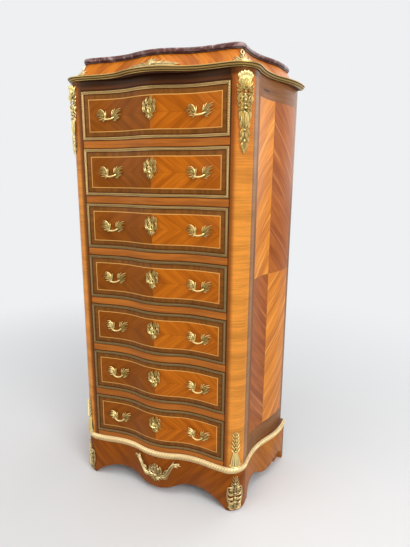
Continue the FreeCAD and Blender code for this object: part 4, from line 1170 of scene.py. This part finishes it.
class SEMAINIER_OT_marble(bpy.types.Operator):
    """Marble slab with a moulded edge"""
    bl_idname = "semainier.marble"
    bl_label = "Marble slab"

    def execute(self, context):
        foot, top = foot_of("marble_top"), top_of("marble_top")
        corners = [(-3, 0), (1.6, 0), (2.8, 0.5), (3.2, 1.8), (2.8, 2.8), (3.4, 3.6), (5.0, 4.8),
                   (5.8, 6.8), (6.0, 9), (5.7, 11.4), (4.8, 13.6), (3.2, 15.3), (1.4, 16),
                   (-3, 16)]
        edge = moulded("marble_edge", corners, marble_line(-6), foot, bays=190, angle=30)
        # the body stops a little short of the edge's top and foot
        shy = 0.1
        rim = [(point.x / MM, point.y / MM, foot / MM + shy) for point in marble_line(-7).points]
        body = draw_out(flat_face(rim), (0, 0, top - foot - 2 * shy * MM))
        smooth(body)
        set_piece(joined("marble_slab", [edge, body]), "carcass", "marble", "marble",
                  "marble_top")
        return {"FINISHED"}


class SEMAINIER_OT_cove(bpy.types.Operator):
    """Coved frame under the slab"""
    bl_idname = "semainier.cove"
    bl_label = "Cove"

    def execute(self, context):
        piece = dress_copy("top_cove", "veneered_cove")
        set_piece(piece, "carcass", "cove_veneer", "cove", "top_cove")
        return {"FINISHED"}


class SEMAINIER_OT_cornice(bpy.types.Operator):
    """Stepped brass cornice round the top board"""
    bl_idname = "semainier.cornice"
    bl_label = "Cornice"

    def execute(self, context):
        corners = [(-1, 0), (3.6, 0), (4.4, 0.4), (4.6, 1.6), (4.0, 2.2), (4.0, 2.8), (5.8, 3.2),
                   (7.6, 4.2), (8.9, 5.6), (9.4, 7.0), (9.2, 7.6), (8.2, 7.9), (8.2, 8.7),
                   (11.2, 9.0), (12, 9.8), (12, 11.2), (11.4, 12), (-1, 12)]
        piece = moulded("brass_cornice", corners, cornice_line(), foot_of("cornice_moulding"),
                        bays=200, angle=32)
        set_piece(piece, "carcass", "aged_brass", "cornice", "cornice_moulding")
        return {"FINISHED"}


class SEMAINIER_OT_base_moulding(bpy.types.Operator):
    """Gilt base moulding with its run of leaves"""
    bl_idname = "semainier.base_moulding"
    bl_label = "Base moulding"

    def execute(self, context):
        sizes = context.scene.semainier_sizes
        line = case_line("base", 361)
        level = foot_of("base_moulding")
        corners = [(-1, 0), (2.4, 0), (3.0, 1.0), (3.2, 3.0), (4.6, 4.4), (6.2, 6.4), (7.0, 9),
                   (7.2, 11), (7.0, 13), (6.2, 15.6), (4.6, 17.6), (3.2, 19.0), (3.0, 21.0),
                   (2.4, 22), (-1, 22)]
        bar = moulded("base_bar", corners, line, level, bays=190, angle=30)
        run = 2 * line.half - sizes.leaf_pitch
        count = round(run / sizes.leaf_pitch)
        pitch = run / count / MM
        leaves = [
            strap([(-0.30 * pitch, 3.4, 4.6), (0.0, 7, 7.2), (0.15 * pitch, 12, 7.8),
                   (0.55 * pitch, 18.6, 4.8)], (1.0, 2.0, 2.3, 0.5), 0.9, "leaf", 3),
            strap([(0.45 * pitch, 3.6, 4.8), (0.40 * pitch, 7, 6.6), (0.5 * pitch, 11, 6.8)],
                  (0.9, 1.3, 0.4), 0.9, "reed", 2)]
        row = joined("base_leaves", leaves)
        apply_modifier(row, "ARRAY", count=count, use_relative_offset=False,
                       use_constant_offset=True,
                       constant_offset_displace=(pitch * MM, 0, 0))
        shift(row, -run / 2 + pitch * MM * 0.3, 0, level)
        face_outwards(row, 0.000001)
        bend(row, line)
        smooth(row, 45)
        piece = joined("gilt_base_moulding", [bar, row])
        set_piece(piece, "carcass", "gilt_moulding", "moulding", "base_moulding")
        return {"FINISHED"}


class SEMAINIER_OT_plinth(bpy.types.Operator):
    """Scalloped front apron, side aprons and back board"""
    bl_idname = "semainier.plinth"
    bl_label = "Plinth"

    def execute(self, context):
        for node in ("plinth_front", "plinth_frame"):
            piece = dress_copy(node, node + "_veneered",
                               context.scene.semainier_sizes.edge_wear)
            set_piece(piece, "carcass", "plinth_veneer", "apron", node)
        return {"FINISHED"}


class SEMAINIER_OT_handles(bpy.types.Operator):
    """Cast handles, two on each drawer: a short bail between two tufts of leaves"""
    bl_idname = "semainier.handles"
    bl_label = "Handles"

    def execute(self, context):
        sizes = context.scene.semainier_sizes
        line = case_line()
        middle = (foot_of(f"drawer_{DRAWERS}_front") + top_of(f"drawer_{DRAWERS}_front")) / 2
        masters = {name: wrap(self.handle(), line, line.reach(hand * sizes.handle_x), middle)
                   for name, hand in (("left_handle", -1), ("right_handle", 1))}
        on_each_drawer(masters, "gilt_bronze", "gilt", "mounts")
        return {"FINISHED"}

    def handle(self):
        curled = [
            [2.1, (-12, -8), (-12, 4), (-18, 14), (-28, 18), (-36, 14)],
            [3.0, (-12, -10), (-16, 4), (-24, 11), (-33, 11), (-40, 4)],
            [3.0, (-13, -11), (-19, -2), (-27, 3), (-35, 2), (-42, -4)],
            [2.0, (-14, -12), (-21, -6), (-29, -3), (-37, -6)],
            [2.0, (-14, -12), (-22, -12), (-28, -10), (-34, -13)],
            [1.9, (-13, -11), (-16, -16), (-22, -18)],
            [1.8, (-11, -4), (-8, 4), (-11, 12)],
        ]
        swept = [
            [2.1, (12, -8), (18, -2), (23, 8), (31, 15), (42, 18)],
            [3.0, (13, -10), (22, -2), (28, 6), (35, 11), (43, 11)],
            [3.0, (14, -11), (24, -7), (32, 0), (42, 2)],
            [2.0, (14, -12), (24, -13), (31, -9), (37, -5)],
            [2.0, (13, -5), (16, 4), (17, 12), (23, 18)],
            [1.9, (12, -6), (12, 2), (11, 9), (14, 15)],
            [1.9, (13, -11), (18, -16), (26, -16)],
        ]
        bail = [(-19, -6, 7), (-14, -10.5, 12), (-6, -12.2, 14.5), (0, -12.6, 15),
                (6, -12.2, 14.5), (14, -10.5, 12), (19, -6, 7)]
        parts = limbs(curled[1:3] + swept[1:3], lift=7.5, rise=1.2, ground=1.6)
        parts += limbs(curled[:1] + curled[3:] + swept[:1] + swept[3:], lift=5.5,
                       section="ridge", rise=1.4, ground=1.4)
        parts.append(strap(bail, (1.9, 2.2, 2.3, 3.0, 2.3, 2.2, 1.9), 1.0, "round"))
        for hand in (-1, 1):
            parts.append(bud((hand * 14, -8), 4.2, 1.3, 4))
            parts.append(strap([(hand * 11, -9, 0), (hand * 17, -5, 0), (hand * 24, -1, 0),
                                (hand * 30, 1, 0)], (3, 5, 6, 2), 0.12, "reed"))
        return cast("handle_master", parts)


class SEMAINIER_OT_escutcheons(bpy.types.Operator):
    """Pierced keyhole plates, leafy and one-sided"""
    bl_idname = "semainier.escutcheons"
    bl_label = "Keyhole plates"

    def execute(self, context):
        sizes = context.scene.semainier_sizes
        keyhole = top_of(f"drawer_{DRAWERS}_front") - sizes.keyhole_drop
        master = wrap(self.plate(), case_line(), 0, keyhole)
        on_each_drawer({"keyhole_plate": master}, "gilt_bronze", "gilt", "mounts")
        return {"FINISHED"}

    def plate(self):
        rows = [
            [3.2, (-5, -7), (-14, -3), (-18, 7), (-14, 17), (-6, 21)],
            [3.0, (5, -7), (13, -4), (18, 5), (17, 15), (9, 22)],
            [2.8, (-14, 12), (-19, 18), (-17, 25), (-11, 26)],
            [2.8, (13, 14), (19, 20), (19, 28), (14, 31)],
            [3.0, (-2, 16), (-8, 22), (-9, 30), (-4, 34)],
            [3.2, (0, 17), (2, 25), (5, 33), (11, 38)],
            [3.0, (3, 17), (9, 22), (11, 28), (8, 33)],
            [2.6, (-12, 2), (-18, 0), (-20, -6)],
            [2.6, (12, 2), (17, 1), (20, -4)],
            [2.8, (-3, -8), (-9, -12), (-10, -18)],
            [2.8, (3, -8), (9, -12), (11, -17)],
            [2.6, (-1, -12), (-5, -16), (-5, -22)],
            [2.6, (2, -12), (5, -16), (6, -22)],
            [3.0, (0, -10), (1, -17), (0, -25)],
        ]
        parts = limbs(rows, lift=3.8, rise=1.2, ground=1.4)
        parts += limbs(both_hands([
            [2.4, (5, 3), (9, 3), (12, 6)],
            [2.4, (4, 7), (8, 9), (11, 14)],
            [2.4, (5, -1), (9, -3), (12, -2)],
            [2.4, (1, 9), (4, 13), (6, 19)],
        ]), lift=3.0, rise=1.0, ground=1.2)
        parts.append(loop(1, 4.8, 8, 1.6, 2.6, 1.0, "ridge"))
        return cast("plate_master", parts)


class SEMAINIER_OT_corner_chutes(bpy.types.Operator):
    """Pierced chutes at the top of the posts and husks at their foot"""
    bl_idname = "semainier.corner_chutes"
    bl_label = "Corner chutes and husks"

    def execute(self, context):
        sizes = context.scene.semainier_sizes
        low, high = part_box("corner_mounts")
        for kind, make, level in (("corner_chute", self.chute, high.z),
                                  ("lower_husk", self.husk, low.z + sizes.husk_length)):
            on_corners(kind, make(), case_line(), round_post(0, 35), level, "gilt",
                       "corner_mounts")
        return {"FINISHED"}

    def chute(self):
        """From the reeded shell at the top, z = 0, down to a point."""
        parts = [ground_plate([(-5, 17), (-14, 18), (-24, 16), (-34, 13), (-44, 6)], 0.22),
                 ground_plate([(-56, 5), (-62, 11), (-84, 10), (-94, 8), (-100, 6), (-120, 7),
                               (-142, 4), (-160, 6), (-182, 5), (-196, 3), (-206, 1)], 0.22)]
        # closed shell with a scalloped, rolled head
        for number in range(6):
            step = number - 2.5
            way = math.radians(step * 10)
            reach, bow = 40 - 0.6 * step ** 2, 9 - 0.6 * step ** 2
            route = [(math.sin(way) * reach * share + step * 0.8,
                      math.cos(way) * reach * share - 41.5, bow * out)
                     for share, out in ((0.1, 0.5), (0.5, 0.85), (0.70, 0.7), (0.80, 0.85),
                                        (0.93, 1.15), (1.0, 0.7))]
            parts.append(strap(route, (2.6, 3.8, 3.9, 4.9, 5.0, 2.4), 0.85, "reed", 4))
        # leaves laid over its foot, and a second tier that turns out
        parts += fan_out((0, -46), (-42, -21, 0, 21, 42), (28, 30, 33, 30, 28), 3.6, 12.0)
        parts += fan_out((0, -30), (142, 218), (26, 26), 3.6, 9.0)
        parts += limbs(both_hands([
            [3.0, (5, -40), (14, -44), (20, -40), (21, -33)],
            [2.8, (8, -46), (16, -52), (20, -50), (20, -43)],
            [2.6, (11, -52), (18, -60), (20, -56), (17, -52)],
            [2.8, (2, -60), (9, -56), (16, -62), (14, -70), (8, -69)],
            [2.6, (14, -58), (19, -66), (17, -76), (12, -80)],
            [2.6, (4, -68), (10, -74), (17, -76), (19, -84)],
            [2.6, (2, -76), (7, -82), (13, -84), (16, -91)],
            [3.0, (2, -86), (8, -90), (14, -88), (18, -82)],
            [3.6, (1, -97), (8, -92), (14, -94), (16, -102)],
            [3.0, (8, -96), (14, -103), (14, -114), (10, -124)],
            [3.6, (4, -102), (8, -114), (8, -128), (2, -143)],
            [2.6, (1, -104), (3, -116), (3, -130), (1, -140)],
            [2.4, (8, -118), (12, -128), (11, -138), (6, -146)],
            [2.8, (2, -142), (8, -147), (11, -155), (9, -164)],
            [2.6, (1, -150), (5, -156), (6, -164), (4, -172)],
            [2.6, (4, -162), (10, -166), (11, -174), (7, -180)],
            [2.6, (2, -176), (7, -180), (8, -188), (5, -194)],
            [2.2, (1, -188), (5, -192), (5, -200)],
        ]), lift=7.5, rise=1.1)
        parts += buds([(-62, 2.6, 6), (-72, 3.4, 7), (-82, 2.6, 6), (-92, 3.6, 8),
                       (-146, 2.8, 5), (-174, 3.8, 5)])
        parts += fan_out((0, -72), range(30, 360, 60), [8] * 6, 2.4, 6.0)
        parts += fan_out((0, -174), range(30, 360, 60), [7.5] * 6, 2.2, 5.0)
        parts += limbs([[2.6, (0, -54), (0, -50), (0, -44)],
                        [2.8, (0, -150), (0, -158), (0, -168)],
                        [2.8, (0, -178), (0, -186), (0, -194)],
                        [3.0, (0, -190), (0, -198), (0, -208)]], lift=6.0)
        parts += scrolls(12, -66, 6.0, 90, -1.1, 2.4, 6)
        return cast("chute", parts)

    def husk(self):
        """A chain of small leaves over a bell flower; z = 0 at the top."""
        parts = [ground_plate([(-6, 1), (-30, 1.5), (-66, 2), (-78, 6), (-96, 13), (-118, 15),
                               (-123, 15)])]
        rows = []
        for number, level in enumerate((-11, -23, -36, -50, -64)):
            size = 8.5 + number * 0.7
            rows.append([2.1 + number * 0.12, (1, level - 6), (size * 0.55, level - 5),
                         (size, level - 1), (size * 1.1, level + 5)])
            rows.append([1.9, (1, level), (size * 0.35, level + 4), (size * 0.45, level + 9)])
            parts.append(bud((0, level - 2), 2.2 + number * 0.15, 1.3, 5))
        parts += limbs(both_hands(rows), lift=4.5, section="ridge", rise=1.4)
        parts.append(limb([(0, -8), (0, -3), (0, 0)], 2.4, lift=3))
        # bell: smooth petals that spread over a rim
        for x, width in ((-10.8, 2.3), (-5.7, 2.7), (0, 3.0), (5.7, 2.7), (10.8, 2.3)):
            bow = 7 - abs(x) * 0.30
            parts.append(strap([(x * 0.35, -72, bow - 3), (x * 0.75, -84, bow),
                                (x, -100, bow + 1), (x * 1.22, -117, bow + 1)],
                               (width * 0.7, width, width, width * 1.15), 1.2, "reed"))
        parts.append(strap([(-17, -116, 3), (-9, -120.5, 8), (0, -121.6, 9.5), (9, -120.5, 8),
                            (17, -116, 3)], (1.6, 2.2, 2.4, 2.2, 1.6), 1.2, "reed"))
        return cast("husk", parts)


def round_post(out, degrees):
    """Length along a plan line of the case to a place on its post, turned by an angle."""
    return case_line(out=out).reach(SHOULDER * MM) + (POST + out) * MM * math.radians(degrees)


def on_corners(kind, piece, line, mark, level, finish, node):
    """Put a casting and its mirror image on the two front corners."""
    left = mirror_of(piece, "left_" + kind)
    name_piece(piece, "right_" + kind)
    for side, casting in ((1, piece), (-1, left)):
        wrap(casting, line, side * mark, level)
        set_piece(casting, "carcass", "gilt_bronze", finish, node)


class SEMAINIER_OT_sabots(bpy.types.Operator):
    """Leafy pierced mounts on the front feet"""
    bl_idname = "semainier.sabots"
    bl_label = "Foot mounts"

    def execute(self, context):
        on_corners("foot_mount", self.sabot(), plinth_line(), round_post(3, 36),
                   top_of("foot_sabots"), "worn_gilt", "foot_sabots")
        return {"FINISHED"}

    def sabot(self):
        """Leaf tiers that widen downwards; z = 0 at the top."""
        rows = both_hands([
            [2.2, (0, -12), (4, -8), (6, -1)],
            [2.4, (0, -22), (6, -18), (9, -10)],
            [2.4, (0, -32), (8, -29), (12, -20)],
            [2.4, (4, -38), (11, -34), (13, -28)],
            [2.8, (2, -44), (12, -38), (21, -38), (23, -46)],
            [2.1, (22, -42), (24, -56), (20, -66), (10, -70), (2, -64)],
            [2.4, (6, -46), (14, -46), (15, -56), (9, -60)],
            [2.1, (24, -58), (25, -74), (20, -82), (10, -85), (2, -78)],
            [2.4, (4, -64), (10, -62), (15, -66), (16, -74)],
            [2.1, (24, -74), (23, -90), (17, -98), (9, -100), (2, -94)],
            [2.4, (4, -80), (10, -78), (15, -82), (16, -90)],
            [2.8, (1, -94), (8, -96), (13, -104), (12, -114)],
            [2.8, (3, -120), (10, -114), (16, -108), (20, -100)],
            [3.0, (3, -119), (11, -120), (17, -116), (21, -109)],
            [2.4, (17, -94), (22, -88), (24, -80)],
            [2.0, (12, -70), (16, -64), (21, -60), (22, -52)],
            [2.0, (8, -70), (6, -62), (9, -55), (12, -50)],
            [1.9, (2, -88), (8, -84), (14, -84), (19, -79)],
            [1.9, (2, -72), (8, -68), (14, -66), (20, -60)],
            [1.9, (2, -56), (7, -52), (10, -46), (16, -43)],
            [2.0, (8, -102), (14, -96), (18, -92), (20, -86)],
            [2.0, (6, -102), (5, -96), (8, -90)],
            [2.4, (6, -112), (14, -108), (19, -102), (21, -96)],
        ])
        parts = limbs(rows, lift=5.0, rise=1.1)
        parts += limbs([[3.0, (0, -64), (0, -50), (0, -34)], [2.6, (0, -24), (0, -10), (0, 0)],
                        [3.2, (0, -92), (0, -80), (0, -66)],
                        [4.4, (0, -121), (0, -106), (0, -90)]], lift=6.5, rise=1.1)
        parts += buds([(-28, 3.4, 4), (-62, 3.8, 5), (-78, 3.8, 5), (-94, 4.2, 5)], 1.3)
        parts += scrolls(14, -50, 5.0, 90, 1.1, 2.0, 4)
        parts.append(ground_plate([(-104, 6), (-112, 14), (-118, 16), (-121.5, 15)], 0.10))
        return cast("sabot", parts)


class SEMAINIER_OT_apron_mount(bpy.types.Operator):
    """Gilt mount at the middle of the apron: a cartouche between two scrolled arms"""
    bl_idname = "semainier.apron_mount"
    bl_label = "Apron mount"

    def execute(self, context):
        rows = both_hands([
            [5.4, (16, 2), (30, 0), (42, 12), (50, 32), (60, 50), (73, 54), (87, 44)],
            [3.6, (56, 42), (60, 52), (64, 60)],
            [3.6, (68, 50), (76, 55), (84, 53)],
            [3.6, (62, 46), (70, 44), (78, 38)],
            [3.2, (40, 8), (50, 18), (52, 32), (46, 40)],
            [3.0, (22, -4), (34, -8), (44, -2), (46, 8)],
            [3.0, (34, 12), (32, 22), (40, 30), (48, 26)],
            [3.4, (4, 10), (14, 18), (12, 28), (4, 32)],
            [3.2, (14, 12), (22, 20), (22, 30), (14, 34)],
            [3.2, (8, 0), (18, 4), (25, 14), (22, 24)],
            [3.2, (6, -4), (16, -4), (24, -12)],
            [3.0, (4, -8), (12, -12), (14, -20)],
            [2.8, (2, -8), (5, -16), (3, -23)],
            [2.8, (2, 26), (9, 30), (10, 38), (5, 40)],
        ])
        parts = limbs(rows, lift=6.5, ground=1.5, rise=1.1)
        parts += limbs([[3.4, (0, 24), (0, 33), (-1, 43)], [3.2, (0, 12), (0, 20), (0, 28)]],
                       lift=7.0, ground=1.5)
        parts += fan_out((0, 2), range(0, 360, 45), [9] * 8, 2.4, 6.5)
        parts += [bud((hand * x, z), size, 1.1, 6) for hand in (-1, 1)
                  for x, z, size in ((44, 18, 3.6), (52, 36, 3.4), (62, 52, 3.6), (12, 26, 3.2),
                                     (20, 12, 3.2))]
        parts += fan_out((0, -6), (120, 150, 210, 240), [15] * 4, 2.6, 5.0)
        parts += buds([(2, 4.4, 7), (28, 3.6, 5)])
        parts.append(ground_plate([(20, 6), (10, 13), (-2, 14), (-14, 5)]))
        parts += scrolls(32, 6, 7, 60, 1.1, 2.6, 4)
        piece = wrap(cast("apron_cartouche", parts), plinth_line(), 0,
                     context.scene.semainier_sizes.apron_mount)
        set_piece(piece, "carcass", "gilt_bronze", "worn_gilt", "apron_mount")
        return {"FINISHED"}


class SEMAINIER_OT_cove_mounts(bpy.types.Operator):
    """Gilt frieze at the middle of the cove and pierced shells on its corners"""
    bl_idname = "semainier.cove_mounts"
    bl_label = "Cove mounts"

    def execute(self, context):
        steps = context.scene.semainier_sizes.plan_steps
        line, foot = cove_line(), foot_of("top_cove")
        frieze = self.lay_back(self.frieze(), 38)
        set_piece(wrap(frieze, line, 0, foot), "carcass", "gilt_bronze", "worn_gilt",
                  "cove_mounts")
        # middle of the corner: the third curve of the plan line
        corner = (line.marks[2 * steps] + line.marks[3 * steps]) / 2
        on_corners("cove_shell", self.lay_back(self.shell(), 31), line, corner, foot,
                   "worn_gilt", "cove_mounts")
        return {"FINISHED"}

    def lay_back(self, piece, depth):
        """Follow the hollow of the cove: depth in mm from its foot to its neck."""
        half = (top_of("top_cove") - foot_of("top_cove")) / 2
        for vertex in piece.data.vertices:
            share = vertex.co.z / half
            drawn = 0.66 * share if share < 1 else 0.66 + 0.34 * (share - 1)
            vertex.co.y += depth * MM * (drawn - 0.5)
        return piece

    def frieze(self):
        """A low run of leaves that swells at its middle."""
        rows = [
            [3.0, (0, 14), (14, 14), (26, 18), (33, 25)],
            [3.0, (18, 14), (32, 13), (44, 16), (52, 22)],
            [2.8, (36, 13), (48, 12), (60, 15), (67, 19)],
            [2.6, (52, 12), (64, 11), (74, 12), (84, 14)],
            [2.8, (4, 20), (10, 26), (20, 29)],
            [2.6, (20, 18), (28, 20), (38, 25)],
            [2.4, (38, 17), (46, 18), (54, 21)],
            [3.4, (0, 7), (24, 7), (50, 7), (70, 8)],
        ]
        parts = limbs(both_hands(rows), lift=5.0, rise=1.2)
        parts += fan_out((0, 14), (-60, -30, 0, 30, 60), (17, 19, 20, 19, 17), 3.2, 6)
        parts.append(bud((0, 15), 4.4, 1.2, 4))
        return cast("cove_frieze", parts)

    def shell(self):
        """Pierced leafwork that stands on the cornice and ends in a loop."""
        parts = limbs(both_hands([
            [4.0, (2, 2), (12, 2), (24, 5), (33, 3)],
            [3.6, (2, 5), (12, 9), (18, 17), (25, 22)],
            [3.4, (8, 4), (18, 8), (27, 13)],
            [3.0, (2, 14), (8, 19), (11, 29)],
            [3.0, (1, 4), (7, 10), (6, 19)],
        ]), lift=4.5, rise=1.1)
        parts += limbs([[4.2, (0, 2), (0, 12), (0, 25)]], lift=5.5)
        parts.append(loop(33, 6, 6.5, 3, 2.3, 1.2, "reed"))
        parts.append(bud((0, 24), 3.6, 1.2, 3))
        return cast("cove_shell", parts)


# the view: place in metres, direction in degrees, lens in millimetres
EYE, AZIMUTH, PITCH, ROLL, LENS = (0.5934, -1.2557, 1.0405), 21.107, -12.4445, 0.5137, 27.376
# lamps: place, height looked at, size and power
LAMPS = {
    "key_lamp": ((2.6, -2.2, 2.4), 0.7, 1.8, 78),
    "fill_lamp": ((-2.6, -2.8, 1.8), 0.7, 2.4, 34),
    "top_lamp": ((0.2, -0.8, 3.6), 0.6, 2.0, 42),
    "back_lamp": ((1.4, 2.8, 2.4), 0.8, 3.0, 40),
}


class SEMAINIER_OT_stage(bpy.types.Operator):
    """Floor, lamps and camera"""
    bl_idname = "semainier.stage"
    bl_label = "Stage"

    def execute(self, context):
        self.floor()
        self.world(context.scene)
        for name, settings in LAMPS.items():
            self.lamp(name, *settings)
        self.camera(context.scene)
        context.scene.view_settings.view_transform = "Standard"
        return {"FINISHED"}

    def floor(self):
        """A pale floor that fades into the background away from the chest."""
        release()
        bpy.ops.mesh.primitive_plane_add(size=24, location=(0, 0, 0))
        floor = bpy.context.active_object
        floor.name = "floor"
        finish = Finish("pale_floor", Base_Color=(0.72, 0.72, 0.71, 1), Roughness=0.95,
                        Specular_IOR_Level=0.1)
        away = finish.node("VectorMath", {"operation": "LENGTH"}, {0: finish.place}, "Value")
        fade = finish.soft(away, 700, 2600) * finish.looked_at()
        glow = finish.node("Emission", inputs={"Color": (*BACKDROP, 1)})
        finish.show("Material Output", fade, finish.shader, glow)
        floor.data.materials.append(finish.material)

    def world(self, scene):
        """Cool light from all round, and a plain background to look at."""
        world = bpy.data.worlds.new("studio")
        scene.world = world
        world.use_nodes = True
        nodes = Nodes(world.node_tree)
        air = nodes.first("Background", Color=(0.92, 0.94, 1.0, 1), Strength=0.5)
        seen = nodes.node("Background", inputs={"Color": (*BACKDROP, 1), "Strength": 1.0})
        nodes.show("World Output", nodes.looked_at(), air, seen)

    def camera(self, scene):
        camera = bpy.data.cameras.new("camera")
        eye = bpy.data.objects.new("camera", camera)
        scene.collection.objects.link(eye)
        camera.sensor_fit = "VERTICAL"
        camera.sensor_height = 36
        camera.sensor_width = 27
        camera.lens = LENS
        camera.clip_start = 0.01
        azimuth, pitch, roll = [math.radians(value) for value in (AZIMUTH, PITCH, ROLL)]
        ahead = Vector((-math.sin(azimuth) * math.cos(pitch), math.cos(azimuth) * math.cos(pitch),
                        math.sin(pitch)))
        side = Vector((math.cos(azimuth), math.sin(azimuth), 0))
        up = side.cross(ahead)
        side, up = (side * math.cos(roll) + up * math.sin(roll),
                    up * math.cos(roll) - side * math.sin(roll))
        turn = Matrix((side, up, -ahead)).transposed()
        eye.matrix_world = Matrix.Translation(EYE) @ turn.to_4x4()
        scene.camera = eye

    def lamp(self, name, place, height, size, power):
        data = bpy.data.lights.new(name, "AREA")
        data.shape = "SQUARE"
        data.size = size
        data.energy = power
        lamp = bpy.data.objects.new(name, data)
        bpy.context.scene.collection.objects.link(lamp)
        lamp.location = place
        way = Vector((0, 0, height)) - Vector(place)
        lamp.rotation_euler = way.to_track_quat("-Z", "Y").to_euler()


STEPS = (
    SEMAINIER_OT_carcass, SEMAINIER_OT_drawer_fronts, SEMAINIER_OT_drawer_boxes,
    SEMAINIER_OT_drawer_frames, SEMAINIER_OT_marble, SEMAINIER_OT_cove, SEMAINIER_OT_cornice,
    SEMAINIER_OT_base_moulding, SEMAINIER_OT_plinth, SEMAINIER_OT_handles,
    SEMAINIER_OT_escutcheons, SEMAINIER_OT_corner_chutes, SEMAINIER_OT_sabots,
    SEMAINIER_OT_apron_mount, SEMAINIER_OT_cove_mounts, SEMAINIER_OT_stage,
)


class SEMAINIER_PT_panel(bpy.types.Panel):
    """Pieces and settings of the chest"""
    bl_idname = "SEMAINIER_PT_panel"
    bl_label = "Semainier"
    bl_space_type = "VIEW_3D"
    bl_region_type = "UI"
    bl_category = "Semainier"

    def draw(self, context):
        for group in (context.scene.semainier_sizes, context.scene.semainier_colours):
            for key in group.__annotations__:
                self.layout.prop(group, key)
        for step in STEPS:
            self.layout.operator(step.bl_idname)


CLASSES = (SemainierSizes, SemainierColours, *STEPS, SEMAINIER_PT_panel)


def register():
    for item in CLASSES:
        bpy.utils.register_class(item)
    bpy.types.Scene.semainier_sizes = PointerProperty(type=SemainierSizes)
    bpy.types.Scene.semainier_colours = PointerProperty(type=SemainierColours)


def unregister():
    del bpy.types.Scene.semainier_colours
    del bpy.types.Scene.semainier_sizes
    for item in reversed(CLASSES):
        bpy.utils.unregister_class(item)


def main():
    """Build the dressed chest."""
    register()
    for step in STEPS:
        area, name = step.bl_idname.split(".")
        getattr(getattr(bpy.ops, area), name)()
    release()


if __name__ == "__main__":
    main()
